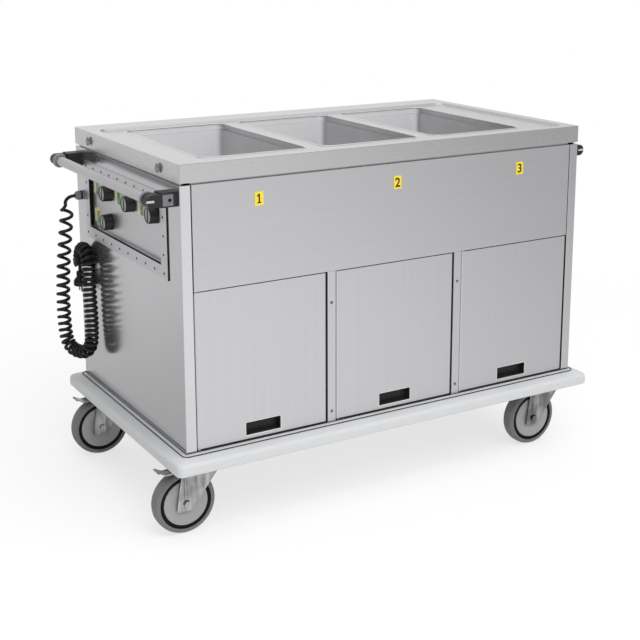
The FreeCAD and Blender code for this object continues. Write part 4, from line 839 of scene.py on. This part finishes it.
# ------------------------------------------------------------------ control end
class TROLLEY_OT_controls(bpy.types.Operator):
    """Dress the riveted control plate, its recess, tags and knobs"""
    bl_idname = "trolley.controls"
    bl_label = "Control end"

    def execute(self, context):
        body = "trolley"
        ease_node("control_face", "control_plate", body, "sheet_along", 0.0004)
        ease_node("control_recess", "control_box", body, "sheet_along", 0.0005)
        dress("thermostats", "casing")
        self.rivets(context)
        self.recess_lines()
        centres = [sum(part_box("knob_%d" % n), Vector()) / 2 for n in KNOBS]
        tag_offset, tag_half = 0.1, 0.0225
        tags = NODES["knob_tags"].data
        tags.materials.clear()
        tags.materials.append(scale_print("tag_print", [(c.y + tag_offset, c.z) for c in centres], tag_half))
        for n, c in zip(KNOBS, centres):
            self.knob(n, c)
        self.studs()
        return {"FINISHED"}

    def recess_lines(self):
        """Dark strips that paint the shade in the control recess: on its rear wall, under the window and ahead
        of the plate's front edge.
        """
        low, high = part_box("control_box")
        plate_low, plate_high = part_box("control_plate")
        front, rear, bottom, top = self.window()
        face, depth = plate_low.x, low.x + 0.9 * (high.x - low.x)
        bm = bmesh.new()
        block(bm, (face + 0.0002, rear - 0.0022, bottom + 0.001), (depth, rear - 0.0015, top - 0.001))
        block(bm, (face - 0.0003, front + 0.001, bottom - 0.0002), (face + 0.005, rear, bottom + 0.0016))
        block(bm, (face - 0.0003, plate_low.y - 0.0018, plate_low.z),
              (face + 0.002, plate_low.y - 0.0001, plate_high.z))
        as_object("recess_lines", mesh_of(bm), "trolley", ["seal_and_painted_shade"])

    def window(self):
        """The recess's opening in the plate, inside its rows of rivet holes: front, rear, bottom and top."""
        low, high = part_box("control_plate")
        ahead, rim = 0.027, 0.018
        inner = [v.co for v in NODES["control_plate"].data.vertices
                 if low.y + ahead < v.co.y < high.y - rim and low.z + rim < v.co.z < high.z - rim]
        ys, zs = [v.y for v in inner], [v.z for v in inner]
        return min(ys), max(ys), min(zs), max(zs)

    def rivets(self, context):
        """Domed heads round the control plate, where the plain rivets stand."""
        r = context.scene.trolley_steel.rivet
        low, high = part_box("plate_rivets")
        head, reach = 0.0016, 0.0034
        along, up = 9, 4
        x = low.x + head
        y0, y1, z0, z1 = low.y + reach, high.y - reach, low.z + reach, high.z - reach
        spots = [(x, y0 + (y1 - y0) * k / along, z) for k in range(along + 1) for z in (z0, z1)]
        spots += [(x, y, z0 + (z1 - z0) * k / up) for y in (y0, y1) for k in range(1, up)]

        def seed():
            bm = bmesh.new()
            turned(bm, [(0, head), (r * 0.45, 0.00145), (r * 0.8, 0.0009), (r, 0.0002), (r, -0.0001),
                        (0, -0.0001)], (0, 0, 0), (0, 0, 1), 14)
            return mesh_of(outward(bm))

        scatter("plate_rivet_heads", spots, [(-1, 0, 0)] * len(spots), seed, "trolley", "rivet",
                ["plate_rivets"], corner=50)

    def knob(self, n, c):
        """Cap knob: fluted skirt, raised finger bar, printed face."""
        low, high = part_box("knob_%d" % n)
        base, length, r = high.x, high.x - low.x, (high.y - low.y) / 2
        face = length - 0.0014
        profile = [(0, 0), (r, 0), (r, 0.002), (r - 0.0004, 0.0035), (r - 0.0012, length - 0.002),
                   (r - 0.0028, length), (r - 0.0042, length), (r - 0.0048, face), (0, face)]
        bm = bmesh.new()
        turned(bm, profile, (base, c.y, c.z), (-1, 0, 0), 72, slot=[0, 0, 0, 0, 0, 0, 0, 1])
        flutes, flute = 24, 0.0005
        for v in bm.verts:
            d = Vector((0, v.co.y - c.y, v.co.z - c.z))
            h = base - v.co.x
            if d.length > r - 0.0016 and 0.003 < h < length - 0.001:
                a = math.atan2(d.z, d.y)
                d = d.normalized() * (d.length - flute * (1 + math.cos(flutes * a)))
                v.co.y, v.co.z = c.y + d.y, c.z + d.z
        outward(bm)
        half_w, half_l, cut = 0.0034, r - 0.0062, 0.003
        ring = [(half_w, cut - half_l), (half_w, half_l - cut), (half_w - cut, half_l), (cut - half_w, half_l),
                (-half_w, half_l - cut), (-half_w, cut - half_l), (cut - half_w, -half_l),
                (half_w - cut, -half_l)]
        lower = [bm.verts.new((base - face + 0.0005, c.y + a, c.z + b)) for a, b in ring]
        upper = [bm.verts.new((base - length, c.y + a * 0.72, c.z + b * 0.96)) for a, b in ring]
        m = len(ring)
        bar = [bm.faces.new([lower[k], lower[(k + 1) % m], upper[(k + 1) % m], upper[k]]) for k in range(m)]
        bar += [bm.faces.new(upper), bm.faces.new(lower)]
        bmesh.ops.recalc_face_normals(bm, faces=bar)
        half_line, inset = 0.0008, 0.002
        line = bm.faces.new([bm.verts.new((base - length - 0.00005, c.y + a, c.z + b)) for a, b in
                             ((-half_line, inset), (half_line, inset), (half_line, half_l - inset),
                              (-half_line, half_l - inset))])
        line.material_index = 2
        line.normal_update()
        if line.normal.x > 0:
            line.normal_flip()
        as_object("knob_cap_%d" % n, mesh_of(bm), "knob_body_%d" % n,
                  ["knob", knob_face("knob_face_%d" % n, (c.y, c.z)), "slot"], ["knob_%d" % n], corner=35)

    def studs(self):
        """Domed studs on the worktop's left skirt."""
        low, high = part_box("skirt_studs")
        reach, neck, step, flat = 0.0125, 0.007, 0.004, 0.4
        dome = [(p, step + q * flat) for p, q in reversed(arc(0, 0, reach, 90, 0, 8))]
        bm = bmesh.new()
        for y in (low.y + reach, high.y - reach):
            place = (high.x, y, (low.z + high.z) / 2)
            turned(bm, [(0, 0), (neck, 0), (neck, step)] + dome, place, (-1, 0, 0), 32)
        as_object("skirt_hook_studs", mesh_of(outward(bm)), "trolley", ["stud"], ["skirt_studs"])


# ------------------------------------------------------------------ handles and bumper
class TROLLEY_OT_handles(bpy.types.Operator):
    """Dress the push bars with their brackets, collars and covers"""
    bl_idname = "trolley.handles"
    bl_label = "Push bars"

    def execute(self, context):
        body = "trolley"
        dress("handle_bar_left", "bar")
        dress("handle_bar_right", "bar")
        ease_node("bar_brackets", "handle_brackets", body, "black", 0.0028, 3, angle=50)
        ease_node("bar_rings", "bar_collars", body, "collar", 0.0008)
        ease_node("bracket_covers", "bracket_caps", body, "cap", 0.0005)
        self.marks()
        return {"FINISHED"}

    def marks(self):
        """Light inlay in each bracket's slot, and the cover's screw; the right bar stands further in."""
        face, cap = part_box("handle_brackets")[1].y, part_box("bracket_caps")[1].y
        low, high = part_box("handle_bar_left")
        axis, z = (low.x + high.x) / 2, (low.z + high.z) / 2
        half, r, sunk, thick = 0.0075, 0.0029, 0.0014, 0.0010
        screw_x = PANEL_FACE + 0.021
        bm = bmesh.new()
        spots, ways = [], []
        for sx, back in ((-1, 0), (1, high.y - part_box("handle_bar_right")[1].y)):
            for sy in (-1, 1):
                depth = sy * (face - back - sunk)
                cx = sx * (0.006 - axis)
                ring = arc(cx - half, z, r, 90, 270, 8) + arc(cx + half, z, r, -90, 90, 8)
                lower = [bm.verts.new((p, depth, q)) for p, q in ring]
                upper = [bm.verts.new((p, depth + sy * thick, q)) for p, q in ring]
                m = len(ring)
                for k in range(m):
                    bm.faces.new([lower[k], lower[(k + 1) % m], upper[(k + 1) % m], upper[k]])
                bm.faces.new(upper)
                bm.faces.new(lower)
                spots.append((sx * screw_x, sy * (cap - back), z))
                ways.append((0, sy, 0))
        as_object("bracket_inlays", mesh_of(outward(bm)), "trolley", ["slot"])
        scatter("cover_screws", spots, ways, cross_head, "trolley", "seal_and_painted_shade")


class TROLLEY_OT_bumper(bpy.types.Operator):
    """Make the rounded bumper round the base"""
    bl_idname = "trolley.bumper"
    bl_label = "Bumper"

    def execute(self, context):
        low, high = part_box("bumper_skirt")
        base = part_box("base_pan")[1]
        hx, hy = base.x + 0.0003, base.y + 0.0003
        w, z0, z1 = high.x - hx, low.z, high.z
        nose, lip, fall, wall = 0.012, 0.004, 0.007, 0.006
        section = [(0.0, z0), (0.0, z1), (0.003, z1), (0.011, z1 - 0.0012), (0.020, z1 - 0.0036)]
        section += arc(w - nose, z1 - fall - nose, nose, 72, 0, 10)
        section += arc(w - lip, z0 + lip, lip, 0, -90, 5)
        section += [(w - wall, z0), (w - wall, z1 - fall - nose), (w - nose - 0.002, z1 - fall - wall),
                    (wall + 0.001, z1 - wall), (wall, z0)]
        bm = bmesh.new()
        ring_band(bm, hx, hy, 0.003, section, outer_corner=0.017, reach=w, turns=10)
        as_object("bumper_ring", mesh_of(outward(bm)), "trolley", ["bumper"], ["bumper_skirt"])
        return {"FINISHED"}


# ------------------------------------------------------------------ castors
class TROLLEY_OT_castors(bpy.types.Operator):
    """Make the wheels and dress the forks, mounts and brake pedals"""
    bl_idname = "trolley.castors"
    bl_label = "Castors"

    def execute(self, context):
        ease_node("castor_plates", "castor_mounts", "trolley", "zinc", 0.0006)
        dress("castor_bolts", "bolt")
        for tag in CASTORS:
            ease_node("fork_" + tag, "castor_fork_" + tag, "castor_" + tag, "zinc", 0.0011, 3)
            ease_node("pedal_" + tag, "brake_pedal_" + tag, "brake_" + tag, "zinc", 0.0008)
            self.wheel(tag)
        return {"FINISHED"}

    def wheel(self, tag):
        """Solid tyre on a moulded disc, with a dark thread guard between them on either side."""
        low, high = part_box("castor_wheel_" + tag)
        mid, axis = (low + high) / 2, (0, 1, 0)
        r, hub, bore = (high.z - low.z) / 2, (high.y - low.y) / 2, 0.0061
        w = hub - 0.001
        tyre_in, ring, groove = r - 0.0135, r - 0.0225, w - 0.0047
        half = [(tyre_in, w - 0.004), (tyre_in + 0.0005, w - 0.0012), (tyre_in + 0.0025, w), (r - 0.0085, w),
                (r - 0.0055, w - 0.0012), (r - 0.0022, w - 0.0042), (r - 0.0004, w - 0.0098), (r, 0.003)]
        bm = bmesh.new()
        turned(bm, half + [(p, -q) for p, q in reversed(half)], mid, axis, 96)
        disc = [(bore, hub), (0.0095, hub), (0.011, hub - 0.0008), (0.0115, w - 0.004), (0.017, w - 0.0035),
                (0.019, w - 0.0022), (ring - 0.004, w - 0.0012), (ring - 0.001, w - 0.0018), (ring, groove)]
        guard = [(ring, groove), (ring + 0.001, w - 0.0022), (tyre_in - 0.001, w - 0.0016),
                 (tyre_in, w - 0.004)]
        for s in (1, -1):
            turned(bm, [(p, q * s) for p, q in disc], mid, axis, 72, slot=1, closed=False)
            turned(bm, [(p, q * s) for p, q in guard], mid, axis, 96, slot=2, closed=False)
        turned(bm, [(bore, hub), (bore, -hub)], mid, axis, 72, slot=1, closed=False)
        outward(bm)
        as_object("wheel_" + tag, mesh_of(bm), "wheel_" + tag, ["tyre", "disc", "guard"],
                  ["castor_wheel_" + tag], corner=38)


# ------------------------------------------------------------------ supply lead
# Control points of the lead's middle line: out of the gland, down, round, up over the hook and to the plug.
LEAD_ROUTE = [(-0.643, 0.312, 0.772), (-0.657, 0.312, 0.772), (-0.671, 0.312, 0.762), (-0.675, 0.312, 0.746),
              (-0.668, 0.312, 0.732), (-0.679, 0.313, 0.640), (-0.690, 0.309, 0.545), (-0.695, 0.305, 0.435),
              (-0.690, 0.298, 0.333), (-0.650, 0.214, 0.333), (-0.644, 0.215, 0.432), (-0.646, 0.222, 0.530),
              (-0.645, 0.218, 0.628), (-0.643, 0.296, 0.630), (-0.6435, 0.298, 0.556)]


# Spacing of the coil's turns at shares of the way along: stretched under the gland, close round the bend.
TURN_SPACING = [(0.0, 0.036), (0.16, 0.034), (0.3, 0.025), (0.42, 0.019), (0.48, 0.0145), (0.62, 0.0135),
                (0.72, 0.0155), (0.8, 0.0145), (0.92, 0.0125), (1.0, 0.0115)]


def spline_curve(name, points):
    """A smooth open curve with these control points."""
    curve = bpy.data.curves.new(name, "CURVE")
    curve.dimensions = "3D"
    spline = curve.splines.new("NURBS")
    spline.points.add(len(points) - 1)
    for p, q in zip(spline.points, points):
        p.co = (*q, 1.0)
    spline.order_u = 3
    spline.use_endpoint_u = True
    return curve, spline


def traced(points):
    """Points along the smooth line that has these control points."""
    curve, spline = spline_curve("trace", points)
    spline.resolution_u = 24
    obj = bpy.data.objects.new("trace", curve)
    bpy.context.scene.collection.objects.link(obj)
    graph = bpy.context.evaluated_depsgraph_get()
    mesh = bpy.data.meshes.new_from_object(obj.evaluated_get(graph))
    line = [v.co.copy() for v in mesh.vertices]
    bpy.data.objects.remove(obj)
    return line


def along(line):
    """Length of the line up to each of its points."""
    lengths = [0.0]
    for a, b in zip(line, line[1:]):
        lengths.append(lengths[-1] + (b - a).length)
    return lengths


class TROLLEY_OT_lead(bpy.types.Operator):
    """Make the coiled supply lead, its gland, plug and hook"""
    bl_idname = "trolley.lead"
    bl_label = "Supply lead"

    def execute(self, context):
        lead = context.scene.trolley_lead
        rows = self.wound(traced(LEAD_ROUTE), (lead.coil - lead.cable) / 2, lead.steps)
        curve, spline = spline_curve("coiled_lead", rows)
        spline.resolution_u = 3
        curve.bevel_depth = lead.cable / 2
        curve.bevel_resolution = 3
        curve.use_fill_caps = True
        obj = bpy.data.objects.new("coiled_lead", curve)
        curve.materials.append(finish("cable"))
        context.scene.collection.objects.link(obj)
        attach(obj, "trolley")
        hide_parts("cord_lead", "cord_coil")
        plug = self.plug()
        self.gland()
        dress("cord_hook", "black")
        along(rows)[-1]
        return {"FINISHED"}

    def wound(self, line, radius, turn_steps):
        """The cable's way: straight at first, then coiled round the line, closing in at both ends."""
        straight, straight_step, opening, closing = 0.034, 0.006, 0.03, 0.016
        steps = along(line)
        total = steps[-1]
        stop = total - 0.012
        rows, n, phase, s = [], 0, math.pi * 0.5, 0.0
        ahead = Vector((0, 1, 0))
        while s < total:
            while n < len(steps) - 2 and steps[n + 1] < s:
                n += 1
            t = (s - steps[n]) / max(1e-9, steps[n + 1] - steps[n])
            p = line[n].lerp(line[n + 1], t)
            d = (line[n + 1] - line[n]).normalized()
            ahead = (ahead - d * ahead.dot(d)).normalized()
            side = d.cross(ahead)
            if s < straight:
                rows.append(p)
                s += straight_step
                continue
            grow = min(1.0, max(0.0, (s - straight) / opening)) * min(1.0, max(0.0, (stop - s) / closing))
            grow = grow * grow * (3 - 2 * grow)
            rows.append(p + (ahead * math.cos(phase) + side * math.sin(phase)) * (radius * grow))
            phase += 2 * math.pi / turn_steps
            s += self.spacing(s / total) / turn_steps
        return rows + [line[-1]]

    def spacing(self, share):
        """Spacing of the turns at this share of the way along the lead."""
        for (a, p), (b, q) in zip(TURN_SPACING, TURN_SPACING[1:]):
            if share <= b:
                return p + (q - p) * (share - a) / (b - a)
        return TURN_SPACING[-1][1]

    def plug(self):
        """Moulded plug, hanging down: ribbed relief, body and two pins."""
        low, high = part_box("cord_plug")
        tip, down = Vector(((low.x + high.x) / 2, (low.y + high.y) / 2, high.z)), (0, 0, -1)
        length, r, ribs, rib_pitch, pin_apart, pin_r, pin = 0.042, 0.019, 4, 0.0035, 0.0095, 0.0024, 0.018
        profile = [(0, 0), (0.0085, 0), (0.010, 0.001)]
        for k in range(ribs):
            h = 0.003 + k * rib_pitch
            profile += [(0.0105, h), (0.0105, h + 0.0018), (0.0092, h + 0.0022), (0.0092, h + 0.0033)]
        profile += [(0.0125, 0.0185), (0.0165, 0.0235), (0.0185, 0.0275), (r, 0.031), (r, length - 0.003),
                    (r - 0.0006, length - 0.0012), (r - 0.002, length), (0, length)]
        bm = bmesh.new()
        turned(bm, profile, tip, down, 40)
        for s in (-1, 1):
            turned(bm, [(0, 0), (pin_r, 0), (pin_r, pin - 0.0015), (0.0016, pin), (0, pin)],
                   tip + Vector((0, s * pin_apart, 0.001 - length)), down, 16, slot=1)
        return as_object("lead_plug", mesh_of(outward(bm)), "trolley", ["black", "pin"],
                         ["cord_plug"])

    def gland(self):
        """Strain relief: six-sided flange, round body, domed and notched nut, and a nut inside the panel."""
        low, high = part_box("cord_gland")
        y, z = (low.y + high.y) / 2, (low.z + high.z) / 2
        foot, out = (-PANEL_FACE, y, z), (-1, 0, 0)
        bm = bmesh.new()
        turned(bm, [(0, 0), (0.015, 0), (0.015, 0.003), (0.0142, 0.004), (0, 0.004)], foot, out, 6, slot=1)
        turned(bm, [(0, 0.004), (0.0128, 0.004), (0.0128, 0.0085), (0.0118, 0.0095), (0, 0.0095)],
               foot, out, 40)
        turned(bm, [(0, 0.0095), (0.0122, 0.0095), (0.013, 0.0105), (0.013, 0.0165), (0.0122, 0.0185),
                    (0.0105, 0.0215), (0.008, 0.0238), (0.0052, 0.024), (0.0052, 0.02), (0, 0.02)],
               foot, out, 40, slot=1)
        notches, notch = 8, 0.05
        for v in bm.verts:
            h = -PANEL_FACE - v.co.x
            d = Vector((0, v.co.y - y, v.co.z - z))
            if 0.0099 < h < 0.017 and d.length > 0.0115:
                cut = 1 - notch * (math.cos(notches * math.atan2(d.z, d.y)) > 0.2)
                v.co.y, v.co.z = y + d.y * cut, z + d.z * cut
        inside = (0.0015 - PANEL_FACE, y, z)
        turned(bm, [(0, 0), (0.013, 0), (0.013, 0.005), (0, 0.005)], inside, (1, 0, 0), 6)
        as_object("lead_gland", mesh_of(outward(bm)), "trolley", ["black", "nut"],
                  ["cord_gland"])


# ------------------------------------------------------------------ stage
class TROLLEY_OT_stage(bpy.types.Operator):
    """Set the floor, the soft light and the camera"""
    bl_idname = "trolley.stage"
    bl_label = "Stage"

    def execute(self, context):
        s = context.scene.trolley_stage
        self.camera(s)
        self.floor(s)
        self.world(s)
        self.light("high_light", "SUN", (1.4, -2.2, 4.2), (0.0, 0.0, 0.4), s.sky, angle=math.radians(55))
        self.light("near_light", "AREA", (-0.7, -2.5, 3.0), (0.0, -0.4, 0.3), s.key, size=2.4)
        context.scene.view_settings.view_transform = "Standard"
        return {"FINISHED"}

    def camera(self, s):
        """The camera that was worked out from the photo's straight edges."""
        a, e, t = (math.radians(v) for v in (s.azimuth, s.elevation, s.roll))
        back = Vector((math.sin(a) * math.cos(e), -math.cos(a) * math.cos(e), math.sin(e)))
        right = Vector((math.cos(a), math.sin(a), 0))
        up = back.cross(right)
        right, up = right * math.cos(t) + up * math.sin(t), up * math.cos(t) - right * math.sin(t)
        data = bpy.data.cameras.new("viewpoint")
        obj = bpy.data.objects.new("viewpoint", data)
        bpy.context.scene.collection.objects.link(obj)
        turn = Matrix((right, up, back)).transposed().to_4x4()
        obj.matrix_world = Matrix.Translation(Vector(s.eye)) @ turn
        data.sensor_fit, data.sensor_width = "HORIZONTAL", SENSOR_MM
        data.lens = s.focal_px / PICTURE_PX * SENSOR_MM
        data.shift_x, data.shift_y = s.shift_x, s.shift_y
        bpy.context.scene.camera = obj

    def floor(self, s):
        """White floor: it keeps the shadows, and the camera sees it lifted towards plain white.

        Metal sees it as a glow painted dimmer: more and more to the right, a little at the far left, and behind
        the trolley; this is painted reflection that sets the steel's tones.
        """
        bm = bmesh.new()
        bmesh.ops.create_grid(bm, x_segments=8, y_segments=8, size=40.0)
        mesh = mesh_of(bm, "pale_floor")
        f = Finish("pale_floor", specular=0.1)
        cloud = f.noise(1.2, 2.0)
        mesh.materials.append(f.surface(f.blend(cloud, (0.985, 0.985, 0.985), (1.0, 1.0, 1.0)), 0.75))
        brightest = 1.03
        white = f.node("ShaderNodeEmission", {"Color": (1, 1, 1, 1), "Strength": brightest})
        unlit = f.node("ShaderNodeEmission", {"Color": (0, 0, 0, 1), "Strength": 0.0})
        path = f.node("ShaderNodeLightPath")
        camera, glossy, through = (Val(f, path.outputs["Is %s Ray" % k])
                                   for k in ("Camera", "Glossy", "Transmission"))
        x, y, _ = f.xyz()
        far = ((x * x + y * y) ** 0.5).smooth(1.1, 2.6)
        reach = 0 - y
        # Painted reflection: the glow that metal sees, shaped across the floor to darken and lighten the steel
        # panels.
        falling_right = brightest - 0.61 * (x + y * 0.5).smooth(-0.9, 1.9)
        waved = 0.94 + 0.1 * reach.smooth(0.8, 2.1) - 0.05 * reach.smooth(2.9, 4.3)
        dim_left = 0.74 + 0.26 * x.smooth(-1.5, -0.35)
        ahead = falling_right * waved * dim_left
        behind = 0.44 + 0.25 * y.smooth(0.1, 2.2)
        seen = ahead + y.smooth(-0.2, 0.3) * (behind - ahead)
        glow = (1 - glossy * (1 - seen)) / brightest
        lit = f.node("ShaderNodeMixShader", {0: glow.kept(), 1: unlit.outputs[0], 2: white.outputs[0]})
        lift = camera * (s.whitened + (1 - s.whitened) * far) + glossy * 0.8 + through * 0.25
        mix = f.node("ShaderNodeMixShader", {0: lift.kept(), 1: f.shader.outputs[0], 2: lit.outputs[0]})
        f.links.new(mix.outputs[0], f.out.inputs[0])
        obj = bpy.data.objects.new("pale_floor", mesh)
        bpy.context.scene.collection.objects.link(obj)

    def world(self, s):
        """Plain room: white to the camera, and brighter overhead, to the right and behind for the rest."""
        world = bpy.data.worlds.new("plain_room")
        bpy.context.scene.world = world
        world.use_nodes = True
        tree = world.node_tree
        tree.nodes.clear()
        add, link = tree.nodes.new, tree.links.new
        out, plain, white, mix = (add("ShaderNodeOutputWorld"), add("ShaderNodeBackground"),
                                  add("ShaderNodeBackground"), add("ShaderNodeMixShader"))
        place, path, split = add("ShaderNodeTexCoord"), add("ShaderNodeLightPath"), add("ShaderNodeSeparateXYZ")
        link(place.outputs["Generated"], split.inputs[0])
        right, back, up = 0, 1, 2
        spreads = ((up, -0.1, 0.5, 0.9, 0.62), (up, 0.6, 0.88, s.room, s.room * 3.2),
                   (right, -0.95, -0.1, 0.5, 1.0), (back, 0.4, 0.9, 1.0, 2.1))
        strength = None
        for axis, low, high, first, last in spreads:
            spread, step = add("ShaderNodeMapRange"), add("ShaderNodeMath")
            spread.interpolation_type, step.operation = "SMOOTHSTEP", "MULTIPLY"
            for key, value in (("From Min", low), ("From Max", high), ("To Min", first), ("To Max", last)):
                spread.inputs[key].default_value = value
            step.inputs[0].default_value = 1.0
            if strength:
                link(strength, step.inputs[0])
            link(split.outputs[axis], spread.inputs["Value"])
            link(spread.outputs[0], step.inputs[1])
            strength = step.outputs[0]
        link(strength, plain.inputs["Strength"])
        white.inputs["Color"].default_value = (1, 1, 1, 1)
        white.inputs["Strength"].default_value = 1.0
        link(path.outputs["Is Camera Ray"], mix.inputs[0])
        link(plain.outputs[0], mix.inputs[1])
        link(white.outputs[0], mix.inputs[2])
        link(mix.outputs[0], out.inputs[0])

    def light(self, name, kind, place, aim, energy, **settings):
        """A light that no polished surface shows."""
        data = bpy.data.lights.new(name, kind)
        data.energy = energy
        for key, value in settings.items():
            setattr(data, key, value)
        obj = bpy.data.objects.new(name, data)
        obj.location = place
        obj.rotation_euler = (Vector(aim) - Vector(place)).to_track_quat("-Z", "Y").to_euler()
        obj.visible_glossy = False
        bpy.context.scene.collection.objects.link(obj)


# ------------------------------------------------------------------ panel and registration
class TROLLEY_PT_panel(bpy.types.Panel):
    """Sidebar panel with the trolley's settings and pieces"""
    bl_idname = "TROLLEY_PT_panel"
    bl_label = "Hot-food trolley"
    bl_space_type = "VIEW_3D"
    bl_region_type = "UI"
    bl_category = "Trolley"

    def draw(self, context):
        for group in SETTINGS:
            settings = getattr(context.scene, group)
            for key in settings.bl_rna.properties.keys():
                if key not in ("rna_type", "name"):
                    self.layout.prop(settings, key)
        for operator in OPERATORS:
            self.layout.operator(operator.bl_idname)


SETTINGS = {"trolley_stage": StageSettings, "trolley_steel": SteelSettings, "trolley_rubber": RubberSettings,
            "trolley_lead": LeadSettings}
OPERATORS = (TROLLEY_OT_stage, TROLLEY_OT_lead, TROLLEY_OT_cabinet, TROLLEY_OT_doors, TROLLEY_OT_controls,
             TROLLEY_OT_handles, TROLLEY_OT_bumper, TROLLEY_OT_castors)


def register():
    for cls in (*SETTINGS.values(), *OPERATORS, TROLLEY_PT_panel):
        bpy.utils.register_class(cls)
    for key, cls in SETTINGS.items():
        setattr(bpy.types.Scene, key, PointerProperty(type=cls))


def unregister():
    for key in SETTINGS:
        delattr(bpy.types.Scene, key)
    for cls in (TROLLEY_PT_panel, *reversed(OPERATORS), *reversed(list(SETTINGS.values()))):
        bpy.utils.unregister_class(cls)


def main():
    register()
    for operator in OPERATORS:
        group, name = operator.bl_idname.split(".")
        getattr(getattr(bpy.ops, group), name)()


if __name__ == "__main__":
    main()
